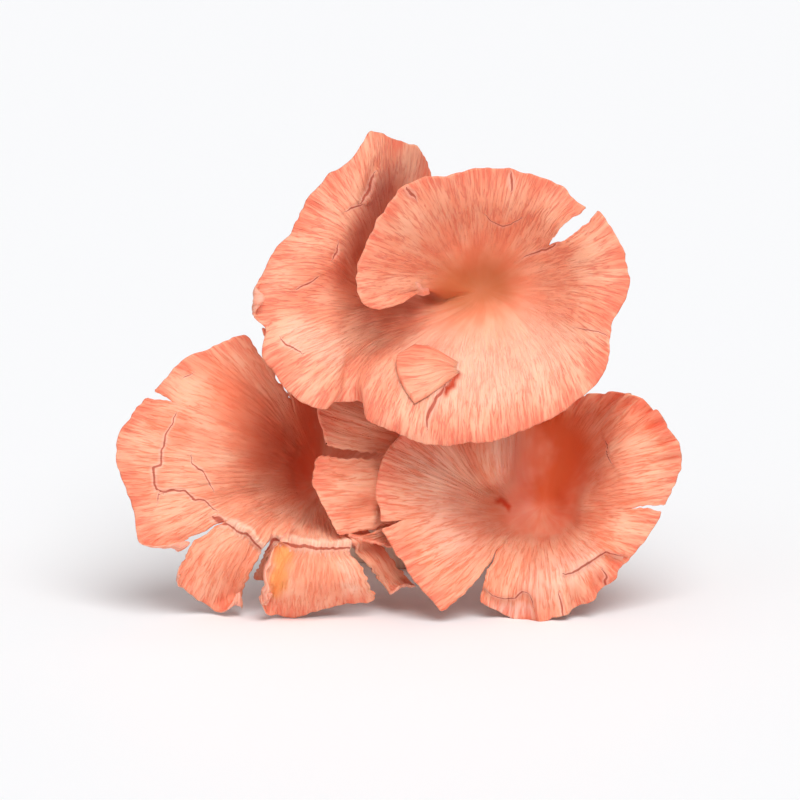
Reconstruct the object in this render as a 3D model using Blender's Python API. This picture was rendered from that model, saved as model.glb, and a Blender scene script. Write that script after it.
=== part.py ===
"""A cluster of three pink oyster mushrooms that grew from one foot, lying as picked.

Lengths are in millimetres until a mesh is made. The caps face the front, which
is -Y, and the stems run back and down to the foot. A point of a cap is written
as it is seen from the front: how far across, how far up and how deep it is.

A cap is a sheet of flesh round its throat. Stations run from the throat out to
the rim, counter-clockwise as seen from the front. They are grouped in lobes,
and the cap is torn from the rim inwards where one lobe ends and the next starts.
"""

import math

import bpy
import numpy as np

MM = 0.001

# The view from the front looks down by this much.
VIEW_TILT = math.radians(12)

# The middle of the cluster's box, which becomes the origin.
MIDDLE = np.array([-0.1, 37.0, 0.0])

# Rows of a cap's grid, as shares of the way from the throat to the rim, and its columns.
# A lobe's apex is the row where the tear after it starts.
ROWS = (0, 0.05, 0.12, 0.21, 0.32, 0.44, 0.56, 0.68, 0.79, 0.9, 1.0)
COLUMNS = 84
STEPS_ALONG_STATION = 49

# The flesh thins from the stem to the rim, by this power of the way left.
FLESH_AT_STEM = 4.5
FLESH_AT_RIM = 1.1
FLESH_FALL = 3

# Each gill is a ridge under every second column. It fades over the outer share of
# the cap and is never steeper than the slope.
GILL_DEPTH = 1.3
GILL_SLOPE = 0.45
GILLS_FADE_OVER = 0.35
GILL_DEPTH_AT_STEM = 0.55
COLUMNS_TO_FULL_GILL = 3

# The throat is where the stations meet.
THROAT_RADIUS = 1.5
THROAT_PULL = 0.1
NARROWEST_TURN = 0.4

# The rim droops by the lip over the outer part of the cap.
LIP = 1.6
LIP_FROM = 0.78

# The underside runs into the stem in a trumpet shape over the rows up to this share.
COLLAR_ROW = 0.3
COLLAR_FLARE = 0.25
STEM_TOP_RADIUS = 6.5
STEM_TOP_DROP = 3.5
STEM_RINGS = 7
STEM_GILL = 0.35

NORMAL_SMOOTHING = 24

# What is within this height of the ground is pressed flat on it.
PRESSED_FLAT = 0.3

# The foot is a lumpy ball with a flat cut underneath.
FOOT_CENTRE = np.array([4.0, 73.0, 8.0])
FOOT_RADII = np.array([20.0, 16.0, 15.0])
FOOT_SIDES = 48
FOOT_RINGS = 12
FOOT_LUMPS = 0.05
FOOT_DENTS = 0.03

# Each stem stands in a socket of the foot with this gap all round.
SOCKET_GAP = 0.35
SOCKET_FROM_RING = 2

SHARP_EDGE = math.radians(40)

TOP = dict(
    throat=(19.1, 77.9, 29.5),
    axis=(0.0, -0.86, 0.5),
    lobes=[
        dict(
            apex=6,
            opening=1.8,
            stations=[
                [(11, 77.4, 28), (6.1, 80.2, 33), (8.6, 95.6, 39)],
                [(9.8, 77.2, 28.5), (2.6, 81.4, 35), (4.4, 97.7, 39), (7.5, 105.8, 37)],
                [(8.9, 76.7, 29), (-0.2, 82.1, 35), (1.2, 97.7, 36), (5.6, 110.5, 33)],
                [(8.2, 76.5, 29.5), (-2.1, 82.1, 34), (-1.6, 97.7, 33), (-0.5, 108.2, 25), (0.2, 113.1, 26)],
                [(7.5, 76.2, 30), (-3.3, 81.1, 33.5), (-3.5, 95.3, 31), (-4.9, 107, 20), (-5.1, 115.2, 22)],
                [(7, 76, 30), (-4, 80.2, 33), (-5.8, 91.4, 28), (-9.1, 101.2, 16), (-11.4, 108.2, 18)],
                [(6.5, 75.8, 30), (-4.4, 79, 32.5), (-7.7, 87.2, 26), (-11, 95.3, 14), (-17.5, 103, 14)],
                [(6.1, 75.5, 30), (-4.9, 78.1, 32), (-9.1, 84.4, 24), (-13.1, 91.4, 12), (-21.9, 95.3, 11)],
                [(5.6, 75.3, 29.5), (-5.4, 77.2, 31), (-10.3, 81.4, 22), (-15.6, 86.7, 10), (-27.7, 88.8, 8)],
                [(5.1, 74.8, 29), (-5.8, 76, 29), (-11.4, 78.3, 20), (-18.9, 81.1, 9), (-31.9, 80.7, 5)],
                [(4.9, 74.1, 28), (-6.3, 74.6, 26), (-13.3, 75.1, 15), (-32.9, 75.5, 3)],
                [(4.7, 73.2, 27), (-6.8, 72.5, 22), (-17.2, 71.3, 8), (-31.2, 66.9, 0)],
                [(4.7, 72, 26), (-7.2, 69.5, 17), (-17.9, 65, 2), (-28.9, 59.7, -5)],
                [(4.9, 70.9, 25), (-6.8, 66.7, 14), (-14.9, 60.4, 0), (-23.1, 53.8, -8)],
                [(5.1, 69.9, 24.5), (-5.8, 65, 13), (-11, 59.2, 3), (-15.2, 51.7, -8)],
                [(5.6, 69, 24), (-4.4, 63.9, 12.5), (-8.6, 59.7, 5), (-11.7, 54.1, -3)],
                [(6.5, 68.3, 22.5), (-1.6, 62.9, 10), (-5.6, 58, 0), (-9.1, 51.5, -11)],
                [(8.4, 67.4, 20), (2.6, 61.1, 6), (-3.7, 48, -13)],
                [(12.4, 66.7, 18), (9.6, 58.7, 3), (6.5, 43.8, -15)],
                [(19.3, 66, 16), (19.3, 55.7, 0), (19.1, 44.8, -15)],
                [(25.9, 66.7, 16), (28.2, 58, 1), (29.1, 47.1, -14)],
                [(30.5, 68.8, 16.5), (35.2, 61.5, 3), (38, 51.5, -10)],
                [(32.9, 71.6, 17), (40.3, 66.2, 5), (46.9, 59, -5)],
                [(34, 75.3, 17.5), (42.2, 72.3, 6), (47.8, 69, -1)],
                [(34.5, 78.8, 17.5), (44.5, 79.3, 6), (52.4, 77.9, 2)],
                [(33.8, 82.8, 17.5), (43.8, 85.8, 7), (50.6, 88.8, 3)],
                [(32.4, 85.8, 18), (40.1, 89.5, 8), (45.7, 95.3, 4)],
            ],
        ),
        dict(
            apex=4,
            opening=2.2,
            stations=[
                [(31.5, 86.5, 18.5), (36.6, 92.3, 8), (42.7, 96.5, 5)],
                [(28.7, 88.8, 19), (32.4, 96, 10), (35.7, 101.6, 7)],
                [(21.2, 90.2, 19.5), (21.7, 97.7, 10), (22.8, 105.1, 7)],
                [(15.4, 89.3, 19.5), (13.8, 97, 10), (12.4, 103.3, 5)],
                [(11.9, 86.2, 20), (7.2, 94.6, 9), (2.3, 101.4, 2)],
                [(10.7, 83.9, 21), (3, 90.2, 8), (-2.6, 95.1, -1)],
                [(10.3, 81.8, 22), (0.7, 84.8, 7), (-6.5, 87.2, -3)],
                [(10.3, 80, 23), (-0.2, 80.7, 7), (-8.6, 80.2, -4)],
                [(10.5, 78.3, 24.5), (0.9, 77.6, 8), (-7.5, 76, -4)],
                [(11, 77.2, 26), (4.9, 76, 12), (0.2, 74.6, 2), (-3.7, 73.9, -2)],
            ],
        ),
    ],
    stem=[(19, 52, 58), (6, 72, 42), (3, 76, 18)],
    stem_radii=(7.0, 5.8, 5.5, 6.5),
)

LEFT = dict(
    throat=(-19.3, 34, 42),
    axis=(-0.2, -0.92, 0.3),
    lobes=[
        dict(
            apex=9,
            opening=1.0,
            stations=[
                [(-22.4, 41.5, 36), (-26.1, 50.3, 27), (-30.5, 58.7, 21), (-35.4, 66.7, 17)],
                [(-23.8, 42.9, 35), (-30.5, 52.7, 22), (-41.3, 64.8, 14)],
                [(-25.4, 42.4, 34), (-34.7, 51.3, 18), (-50.1, 60.4, 10)],
                [(-26.6, 40.6, 33), (-37.5, 46.6, 15), (-55.9, 54.3, 7)],
            ],
        ),
        dict(
            apex=7,
            opening=1.0,
            stations=[
                [(-26.8, 39.9, 33), (-38, 45.2, 15), (-58, 52.4, 6)],
                [(-27.3, 38.2, 32), (-39.2, 41.5, 14), (-61.8, 48, 4)],
                [(-27.5, 36.4, 31), (-39.6, 37.8, 13), (-65, 41.3, 3)],
                [(-27.5, 34.5, 30), (-39.6, 34.3, 12), (-64.3, 35, 2)],
                [(-27.3, 32.6, 29), (-39.4, 31, 11), (-61.3, 26.1, 2)],
                [(-27, 31.2, 28), (-38.9, 28.4, 10), (-58.7, 17.2, 1)],
                [(-26.8, 30.3, 28), (-38.2, 26.3, 10), (-55, 16.6, 2)],
            ],
        ),
        dict(
            apex=6,
            opening=1.2,
            lip=0,
            stations=[
                [(-26.3, 29.4, 27), (-36.4, 24.7, 8), (-45.7, 19.6, 5), (-52.7, 10.7, 4)],
                [(-25.4, 28.2, 26), (-34.3, 22.6, 6), (-41.3, 13.8, 3), (-45.2, 4.2, 8)],
                [(-24, 27.3, 25), (-31, 21.2, 5), (-35.7, 12.1, 3), (-37.8, 2.8, 11)],
            ],
        ),
        dict(
            apex=6,
            opening=1.0,
            stations=[
                [(-23.1, 26.8, 25), (-28.9, 20.3, 10), (-34.7, 9.3, 18)],
                [(-22.4, 26.6, 25), (-27.7, 20, 9), (-31, 8.4, 17)],
            ],
        ),
        dict(
            apex=6,
            opening=1.3,
            lip=0,
            stations=[
                [(-21.7, 26.3, 25), (-26.3, 19.1, 2), (-31.9, 12.1, -1), (-33.8, 4.2, 3)],
                [(-20.5, 25.9, 25), (-23.5, 17.7, 1), (-25.9, 10.3, -2), (-26.8, 1.2, 5)],
                [(-18.6, 25.6, 25), (-17.9, 17.5, 1), (-17.9, 10.3, -2), (-18.2, 3, 5)],
                [(-16.6, 26.1, 26), (-12.6, 17.7, 3), (-9.1, 11.4, 0), (-5.8, 5.4, 7)],
            ],
        ),
        dict(
            apex=5,
            opening=1.0,
            stations=[
                [(-15.2, 26.6, 27), (-10, 18.2, 7), (-2.6, 7, 10)],
                [(-14, 27.5, 29), (-5.6, 18.9, 11), (3.7, 7.9, 12)],
            ],
        ),
        dict(
            apex=5,
            opening=1.0,
            stations=[
                [(-13.1, 28.4, 32), (-4.7, 22.8, 20), (0.2, 14.9, 9)],
                [(-12.6, 29.1, 34), (-2.6, 26.1, 25), (-3, 22.6, 12), (-12.4, 19.3, 0)],
            ],
        ),
        dict(
            apex=5,
            opening=1.0,
            stations=[
                [(-12.4, 29.8, 35), (-0.5, 27.5, 33), (-0.2, 26.6, 12), (-17.7, 23.8, 8)],
                [(-12.1, 31.2, 36), (-0.5, 32.6, 34), (-0.7, 33.1, 12), (-20.3, 33.1, 8)],
                [(-12.1, 32.6, 37), (-0.5, 35.9, 35), (-0.7, 37.3, 14), (-20, 38.7, 9)],
            ],
        ),
        dict(
            apex=5,
            opening=1.0,
            stations=[
                [(-12.1, 33.8, 38), (-0.7, 38.7, 36), (-0.7, 40.1, 17), (-17.7, 41.5, 12)],
                [(-12.6, 35.2, 39), (-1.2, 43.4, 38), (-1.6, 45.2, 19), (-19.6, 51, 16)],
                [(-13.3, 36.8, 40), (-2.1, 47.6, 39), (-3.5, 50.3, 24), (-16.1, 56.9, 24)],
            ],
        ),
        dict(
            apex=5,
            opening=1.0,
            stations=[
                [(-14, 38.2, 41), (-7.2, 49.9, 42), (-3.3, 58.7, 44)],
                [(-16.3, 40.1, 41), (-14.9, 52.2, 40), (-13.8, 65, 38)],
                [(-18.6, 41.5, 40), (-20.5, 53.1, 34), (-22.4, 67.6, 29)],
                [(-20.5, 42, 38), (-24.9, 52.7, 27), (-31, 68.3, 19)],
            ],
        ),
    ],
    stem=[(-16, 58, 22), (-12, 64, 15), (-5, 70, 11)],
    stem_radii=(7.0, 6.0, 5.8, 6.2),
)

RIGHT = dict(
    throat=(34, 27.7, 43),
    axis=(0.2, -0.92, 0.3),
    lobes=[
        dict(
            apex=8,
            opening=1.0,
            stations=[
                [(29.6, 22.6, 33), (25.6, 18.9, 14), (21.2, 12.1, 4), (19.8, 4.7, 2)],
                [(31.2, 22.1, 33), (29.1, 17.7, 14), (26.8, 10.3, 3), (25.6, 1.2, 4)],
                [(33.6, 21.9, 33), (33.3, 17.5, 14), (33.6, 9.8, 1), (34.3, 0.2, 1)],
                [(35.7, 22.1, 33), (36.6, 18.2, 14), (39.2, 11.2, 2), (41.3, 3, 2)],
                [(37.5, 22.8, 33), (39.9, 19.6, 15), (44.1, 14.5, 4), (48.7, 7.9, 4)],
                [(38.7, 23.8, 33), (42, 21.2, 16), (47.6, 18.2, 6), (53.4, 14.5, 5)],
                [(39.4, 24.9, 34), (43.1, 23.3, 17), (50.1, 22.4, 8), (58, 21, 6)],
                [(39.9, 26.1, 34), (43.8, 25.6, 18), (51.7, 26.1, 8.5), (61.1, 26.1, 7)],
            ],
        ),
        dict(
            apex=9,
            opening=1.0,
            stations=[
                [(40.1, 26.8, 34), (44.1, 26.8, 18), (52, 27.3, 9), (62, 27.7, 7)],
                [(40.6, 28.7, 35), (44.5, 29.8, 20), (52, 31.5, 10), (64.6, 33.6, 7)],
                [(40.8, 30.8, 37), (45, 33.6, 24), (51.5, 37.3, 11), (65, 40.6, 8)],
                [(40.6, 32.9, 39), (45, 37.8, 29), (50.6, 42.9, 15), (59.7, 49.4, 13)],
                [(39.9, 34.7, 41), (44.3, 42.9, 35), (53.4, 53.1, 21)],
                [(38.2, 36.4, 43), (41.5, 45.2, 39), (46.4, 53.1, 30)],
                [(35.9, 37.3, 44), (37.5, 45.7, 41), (39.4, 51.7, 36)],
                [(33.1, 36.8, 43), (33.3, 45.2, 41), (32.4, 50.3, 36)],
                [(30.5, 35.4, 40), (30.1, 42.9, 37), (30.1, 51.3, 33)],
                [(28.7, 33.8, 35), (27.7, 40.6, 28), (27.3, 51.3, 26)],
                [(27, 32.4, 29), (25.9, 38.5, 16), (24.9, 51.3, 16)],
                [(25.9, 31.2, 25), (23.3, 37.1, 10), (22.6, 50.8, 11)],
                [(24.7, 30.1, 23), (19.8, 36.4, 12), (17.2, 49.2, 13)],
                [(23.8, 29.1, 23), (15.6, 35.2, 11), (7.2, 46.4, 9)],
                [(23.3, 28, 23), (13.1, 33.1, 10), (-1.9, 40.6, 5)],
                [(23.3, 26.8, 24), (11.4, 30.3, 9), (-4.2, 33.1, 3)],
                [(23.8, 25.6, 25), (11, 27, 8), (-3.5, 24.2, 1)],
            ],
        ),
        dict(
            apex=6,
            opening=1.0,
            stations=[
                [(24, 24.9, 26), (11.9, 25.4, 8), (-3, 22.4, 0)],
                [(25.2, 24, 28), (14.7, 21.2, 7), (1.2, 15.4, -1)],
                [(26.6, 23.3, 30), (17.9, 17.5, 6), (5.8, 8.4, -2)],
                [(28.2, 22.8, 32), (23.1, 18.2, 12), (18.4, 11.4, 3), (10.7, 3, -2)],
            ],
        ),
    ],
    stem=[(31, 60, 19), (24, 66, 13), (15, 71, 10)],
    stem_radii=(7.0, 6.0, 5.8, 6.2),
)


def seen(across, up, depth):
    """A point by how far across, up and deep it is seen from the front."""
    z = (up - depth * math.sin(VIEW_TILT)) / math.cos(VIEW_TILT)
    return np.array([across, depth, z])


def placed(cap):
    """The cap with its measured places turned into points."""
    lobes = []
    for lobe in cap["lobes"]:
        stations = [[seen(*place) for place in station] for station in lobe["stations"]]
        lobes.append(dict(lobe, stations=stations))
    return dict(cap, throat=seen(*cap["throat"]), axis=unit(np.array(cap["axis"])), lobes=lobes)


def unit(vectors):
    return vectors / np.linalg.norm(vectors, axis=-1, keepdims=True)


def eased(t, start, leave, end, arrive):
    """A smooth way from start to end that leaves and arrives along two slopes."""
    return (
        (2 * t**3 - 3 * t**2 + 1) * start
        + (t**3 - 2 * t**2 + t) * leave
        + (3 * t**2 - 2 * t**3) * end
        + (t**3 - t**2) * arrive
    )


def through(points, knots, at, first=None, last=None):
    """Smooth curves through the points, read at the given places along them."""
    shape = (-1,) + (1,) * (points.ndim - 1)
    gaps = np.diff(knots)
    steps = np.diff(points, axis=0) / gaps.reshape(shape)
    wide = gaps[:-1] + gaps[1:]
    slopes = np.empty_like(points)
    slopes[1:-1] = steps[:-1] * (gaps[1:] / wide).reshape(shape)
    slopes[1:-1] += steps[1:] * (gaps[:-1] / wide).reshape(shape)
    slopes[0] = steps[0] if first is None else first
    slopes[-1] = steps[-1] if last is None else last
    k = np.clip(np.searchsorted(knots, at, side="right") - 1, 0, len(gaps) - 1)
    t = ((at - knots[k]) / gaps[k]).reshape(shape)
    gap = gaps[k].reshape(shape)
    return eased(t, points[k], gap * slopes[k], points[k + 1], gap * slopes[k + 1])


def cross_axes(axis):
    """Two directions square to the axis and to each other."""
    side = unit(np.cross(np.array([0.0, 0.0, 1.0]), axis))
    return side, np.cross(axis, side)


def station_turns(cap):
    """Each lobe's stations' directions round the throat, spread to fill one full turn."""
    side, other = cross_axes(cap["axis"])
    turns = []
    for lobe in cap["lobes"]:
        for station in lobe["stations"]:
            arm = station[0] - cap["throat"]
            turns.append(math.atan2(arm @ other, arm @ side))
    turns = np.unwrap(turns)
    middle = (turns[0] + turns[-1]) / 2
    way = np.sign(turns[-1] - turns[0])
    steps = np.diff(turns) * way
    steps = np.maximum(steps, NARROWEST_TURN * 2 * math.pi / len(steps))
    turns = np.concatenate([[0], np.cumsum(steps)]) * way * 2 * math.pi / steps.sum()
    turns += middle - (turns[0] + turns[-1]) / 2
    first = 0
    shared = []
    for lobe in cap["lobes"]:
        count = len(lobe["stations"])
        shared.append(turns[first : first + count].copy())
        first += count
    for here, there in zip(shared, shared[1:]):
        meet = (here[-1] + there[0]) / 2
        here[-1] = meet
        there[0] = meet
    return shared


def meridian(cap, turn, station, along):
    """The top of the cap from the throat to the rim, at even steps of its length."""
    side, other = cross_axes(cap["axis"])
    arm = math.cos(turn) * side + math.sin(turn) * other
    points = np.array([cap["throat"] + THROAT_RADIUS * arm] + station)
    lengths = np.linalg.norm(np.diff(points, axis=0), axis=1)
    knots = np.concatenate([[0], np.cumsum(lengths**0.7)])
    slope = (cap["axis"] * THROAT_PULL + arm * (1 - THROAT_PULL)) * lengths[0] / knots[1]
    dense = through(points, knots, np.linspace(0, knots[-1], 240), first=slope)
    steps = np.linalg.norm(np.diff(dense, axis=0), axis=1)
    run = np.concatenate([[0], np.cumsum(steps)])
    run /= run[-1]
    return np.stack([np.interp(along, run, dense[:, n]) for n in range(3)], axis=1)


def cap_sheets(cap, rows):
    """For each lobe, the grid of points on the top of the cap and its columns' turns."""
    along = np.linspace(0, 1, STEPS_ALONG_STATION)
    lobes = cap["lobes"]
    data = []
    for lobe, turns in zip(lobes, station_turns(cap)):
        lines = np.array([meridian(cap, t, s, along) for t, s in zip(turns, lobe["stations"])])
        rim_and_middle = lines[:, [-1, STEPS_ALONG_STATION // 2]]
        steps = np.linalg.norm(np.diff(rim_and_middle, axis=0), axis=2).sum(axis=1)
        knots = np.concatenate([[0], np.cumsum(steps)])
        slopes = np.diff(lines, axis=0) / np.diff(knots)[:, None, None]
        first, last = slopes[0].copy(), slopes[-1].copy()
        data.append(dict(lines=lines, knots=knots, turns=turns, first=first, last=last))
    for n, lobe in enumerate(lobes):
        here = data[n]
        there = data[(n + 1) % len(data)]
        split = rows[lobe["apex"]]
        t = np.clip((along - split) / (1 - split), 0, 1)
        keep = ((1 - t) ** lobe["opening"])[:, None]
        shared = (here["lines"][-1] + there["lines"][0]) / 2
        here["lines"][-1] += (shared - here["lines"][-1]) * keep
        there["lines"][0] += (shared - there["lines"][0]) * keep
        slope = (here["last"] + there["first"]) / 2
        here["last"] += (slope - here["last"]) * keep**2
        there["first"] += (slope - there["first"]) * keep**2
    total = sum(lobe["knots"][-1] for lobe in data)
    sheets = []
    for lobe in data:
        knots = lobe["knots"]
        count = max(2, 2 * round(COLUMNS * knots[-1] / total / 2))
        at = np.linspace(0, knots[-1], count + 1)
        grid = through(lobe["lines"], knots, at, lobe["first"], lobe["last"])
        top = [[np.interp(rows, along, line[:, n]) for n in range(3)] for line in grid]
        turns = np.interp(at, knots, lobe["turns"])
        sheets.append(dict(top=np.array(top).transpose(0, 2, 1), turns=turns))
    return sheets


def normals_of(grid):
    return unit(np.cross(np.gradient(grid, axis=1), np.gradient(grid, axis=0)))


def smooth_normals(sheets, joins):
    """Evens out the normals along each row, also across the closed part of each tear."""
    for _ in range(NORMAL_SMOOTHING):
        for sheet in sheets:
            normal = sheet["normal"]
            normal[1:-1] = unit(normal[:-2] + 2 * normal[1:-1] + normal[2:])
        for n, sheet in enumerate(sheets):
            a = sheet["normal"]
            b = sheets[(n + 1) % len(sheets)]["normal"]
            stop = joins[n] + 1
            mean = unit(a[-2, :stop] + a[-1, :stop] + b[0, :stop] + b[1, :stop])
            a[-1, :stop] = mean
            b[0, :stop] = mean


def underside(cap, sheet, rows):
    """The lower side of a sheet: the flesh's thickness and the gills under it."""
    top = sheet["top"]
    columns = np.arange(len(top))
    flesh = FLESH_AT_RIM + (FLESH_AT_STEM - FLESH_AT_RIM) * (1 - rows) ** FLESH_FALL
    fade = np.clip((1 - rows) / GILLS_FADE_OVER, 0, 1) ** 0.8
    at_stem = GILL_DEPTH_AT_STEM + (1 - GILL_DEPTH_AT_STEM) * np.clip(rows / 0.2, 0, 1)
    pitch = 2 * np.linalg.norm(np.gradient(top, axis=0), axis=2)
    gills = np.minimum((GILL_DEPTH * fade * at_stem)[None, :], GILL_SLOPE * pitch)
    from_tear = np.minimum(columns, columns[::-1]) / COLUMNS_TO_FULL_GILL
    ridges = (columns % 2) * np.clip(from_tear, 0, 1)
    depth = flesh[None, :] + ridges[:, None] * gills
    under = top - sheet["normal"] * depth[:, :, None]
    side, other = cross_axes(cap["axis"])
    stop = int(np.searchsorted(rows, COLLAR_ROW))
    for column, turn in enumerate(sheet["turns"]):
        arm = math.cos(turn) * side + math.sin(turn) * other
        start = cap["throat"] + arm * STEM_TOP_RADIUS - cap["axis"] * STEM_TOP_DROP
        end = under[column, stop].copy()
        reach = np.linalg.norm(end - start)
        leave = unit(cap["axis"] + COLLAR_FLARE * arm) * reach
        arrive = unit(under[column, stop + 1] - under[column, stop - 1]) * reach
        for row in range(stop):
            under[column, row] = eased(rows[row] / rows[stop], start, leave, end, arrive)
    return under


def mushroom(name, cap, material):
    """One mushroom as a closed solid, and its lower stem's turns for the socket."""
    rows = np.array(ROWS)
    last = len(rows) - 1
    sheets = cap_sheets(cap, rows)
    count = len(sheets)
    joins = [lobe["apex"] for lobe in cap["lobes"]]
    for lobe, sheet in zip(cap["lobes"], sheets):
        droop = lobe.get("lip", LIP) * np.clip((rows - LIP_FROM) / (1 - LIP_FROM), 0, 1) ** 2
        sheet["top"] = sheet["top"] - normals_of(sheet["top"]) * droop[None, :, None]
        sheet["normal"] = normals_of(sheet["top"])
    smooth_normals(sheets, joins)
    points = []
    index = {}

    def key(side, n, column, row):
        """A column that closes a tear belongs to the next lobe, up to the tear's apex."""
        if column == len(sheets[n]["top"]) - 1 and row <= joins[n]:
            return side, (n + 1) % count, 0, row
        return side, n, column, row

    for n, sheet in enumerate(sheets):
        sheet["under"] = underside(cap, sheet, rows)
        for side in ("top", "under"):
            for column in range(len(sheet[side])):
                for row in range(len(rows)):
                    place = side, n, column, row
                    if key(*place) == place:
                        index[place] = len(points)
                        points.append(sheet[side][column, row])
    for point in points:
        if point[2] < PRESSED_FLAT:
            point[2] = 0
    faces = []

    def vertex(*place):
        return index[key(*place)]

    def quad(a, b, c, d):
        faces.append((a, b, c))
        faces.append((a, c, d))

    for n, sheet in enumerate(sheets):
        width = len(sheet["top"]) - 1
        for i in range(width):
            for j in range(last):
                corners = ((i, j), (i, j + 1), (i + 1, j + 1), (i + 1, j))
                quad(*[vertex("top", n, *corner) for corner in corners])
                a, b, c, d = [vertex("under", n, *corner) for corner in corners]
                faces.append((a, c, b))
                faces.append((a, d, c))
            rim = (("top", i), ("under", i), ("under", i + 1), ("top", i + 1))
            quad(*[vertex(side, n, column, last) for side, column in rim])
        for j in range(joins[n - 1], last):
            wall = (("top", j), ("under", j), ("under", j + 1), ("top", j + 1))
            quad(*[vertex(side, n, 0, row) for side, row in wall])
        for j in range(joins[n], last):
            wall = (("top", j), ("top", j + 1), ("under", j + 1), ("under", j))
            quad(*[vertex(side, n, width, row) for side, row in wall])
    ring_top = []
    ring_under = []
    turns = []
    for n, sheet in enumerate(sheets):
        for column in range(len(sheet["top"]) - 1):
            ring_top.append(vertex("top", n, column, 0))
            ring_under.append(vertex("under", n, column, 0))
            turns.append(sheet["turns"][column])
    middle = len(points)
    points.append(cap["throat"])
    for a, b in zip(ring_top, ring_top[1:] + ring_top[:1]):
        faces.append((a, b, middle))
    add_stem(cap, points, faces, ring_under, turns)
    lower_turns = [turns[k] for k in stem_starts(len(turns))[:-1]]
    return solid(name, points, faces, material), lower_turns


def bezier(path, t):
    a, b, c, d = path
    s = 1 - t
    return a * s**3 + 3 * b * s * s * t + 3 * c * s * t * t + d * t**3


def stem_rings(cap, extra=0.0):
    """Centres, cross axes and radii down the stem."""
    path = [cap["throat"]] + [np.array(place, float) for place in cap["stem"]]
    radii = cap["stem_radii"]
    side, other = cross_axes(cap["axis"])
    rings = []
    for t in np.linspace(0, 1, STEM_RINGS + 1)[1:]:
        ahead = unit(bezier(path, min(t + 0.01, 1)) - bezier(path, t - 0.01))
        side = unit(side - ahead * (side @ ahead))
        other = np.cross(-ahead, side)
        radius = np.interp(t, np.linspace(0, 1, len(radii)), radii)
        rings.append((bezier(path, t), side, other, radius + extra))
    return rings


def ring_points(ring, turns, ridges):
    """Points round a ring of the stem, standing out by the ridges."""
    centre, side, other, radius = ring
    reach = radius + np.asarray(ridges, float) * np.ones(len(turns))
    return [centre + r * (math.cos(t) * side + math.sin(t) * other) for t, r in zip(turns, reach)]


def stem_starts(size):
    """Which of the gills' points each side of the plain lower stem starts at."""
    sides = size // 4
    return [k * size // sides for k in range(sides + 1)]


def add_stem(cap, points, cap_faces, ring, turns):
    """Adds the stem: one ring with the gills' ends, then plain rings with fewer sides."""
    faces = []
    size = len(ring)
    starts = stem_starts(size)
    rings = stem_rings(cap)
    before = list(range(len(points), len(points) + size))
    points += ring_points(rings[0], turns, [STEM_GILL * (k % 2) for k in range(size)])
    for k in range(size):
        n = (k + 1) % size
        faces.append((ring[k], ring[n], before[n]))
        faces.append((ring[k], before[n], before[k]))
    lower_turns = [turns[k] for k in starts[:-1]]
    sides = len(lower_turns)
    for step, lower_ring in enumerate(rings[1:]):
        here = list(range(len(points), len(points) + sides))
        points += ring_points(lower_ring, lower_turns, 0)
        for k in range(sides):
            n = (k + 1) % sides
            if step:
                faces.append((before[k], before[n], here[n]))
                faces.append((before[k], here[n], here[k]))
                continue
            run = [before[m % size] for m in range(starts[k], starts[k + 1] + 1)]
            half = len(run) // 2
            for m in range(half):
                faces.append((run[m], run[m + 1], here[k]))
            faces.append((run[half], here[n], here[k]))
            for m in range(half, len(run) - 1):
                faces.append((run[m], run[m + 1], here[n]))
        before = here
    end = len(points)
    points.append(rings[-1][0])
    for k in range(sides):
        faces.append((before[k], before[(k + 1) % sides], end))
    cap_faces += [face[::-1] for face in faces]


def socket_cutter(name, cap, turns):
    """A stem's lower half, a little fatter and longer, that cuts its place in the foot."""
    rings = stem_rings(cap, SOCKET_GAP)[SOCKET_FROM_RING:]
    centre, side, other, radius = rings[-1]
    ahead = unit(centre - rings[-2][0])
    rings[-1] = (centre + ahead * SOCKET_GAP, side, other, radius)
    points = []
    for ring in rings:
        points += ring_points(ring, turns, 0)
    faces = []
    sides = len(turns)
    for step in range(len(rings) - 1):
        for k in range(sides):
            a, b = step * sides + k, step * sides + (k + 1) % sides
            faces.append((a, b, b + sides))
            faces.append((a, b + sides, a + sides))
    for step in (0, len(rings) - 1):
        middle = len(points)
        points.append(rings[step][0])
        for k in range(sides):
            a, b = step * sides + k, step * sides + (k + 1) % sides
            faces.append((a, b, middle) if step else (b, a, middle))
    cutter = solid(name, points, faces, None)
    cutter.hide_render = True
    cutter.display_type = "WIRE"
    return cutter


def foot(name, material):
    """The foot that the stems share, cut flat where it was picked."""
    points = [FOOT_CENTRE + np.array([0, 0, FOOT_RADII[2]])]
    lowest = math.acos(-FOOT_CENTRE[2] / FOOT_RADII[2])
    for ring in range(1, FOOT_RINGS + 1):
        fall = lowest * ring / FOOT_RINGS
        for k in range(FOOT_SIDES):
            turn = 2 * math.pi * k / FOOT_SIDES
            lumps = FOOT_LUMPS * math.sin(3 * turn + 1) + FOOT_DENTS * math.sin(5 * turn + 2 * fall)
            arm = np.array([math.sin(fall) * math.cos(turn), math.sin(fall) * math.sin(turn), math.cos(fall)])
            point = FOOT_CENTRE + FOOT_RADII * arm * (1 + lumps * math.sin(fall))
            if ring == FOOT_RINGS:
                point[2] = 0
            points.append(point)
    faces = []
    last = 1 + (FOOT_RINGS - 1) * FOOT_SIDES
    for k in range(FOOT_SIDES):
        n = (k + 1) % FOOT_SIDES
        faces.append((0, 1 + k, 1 + n))
        for start in range(1, last, FOOT_SIDES):
            faces.append((start + k, start + FOOT_SIDES + k, start + FOOT_SIDES + n))
            faces.append((start + k, start + FOOT_SIDES + n, start + n))
        faces.append((last + k, len(points), last + n))
    points.append(np.array([FOOT_CENTRE[0], FOOT_CENTRE[1], 0]))
    return solid(name, points, faces, material)


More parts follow.
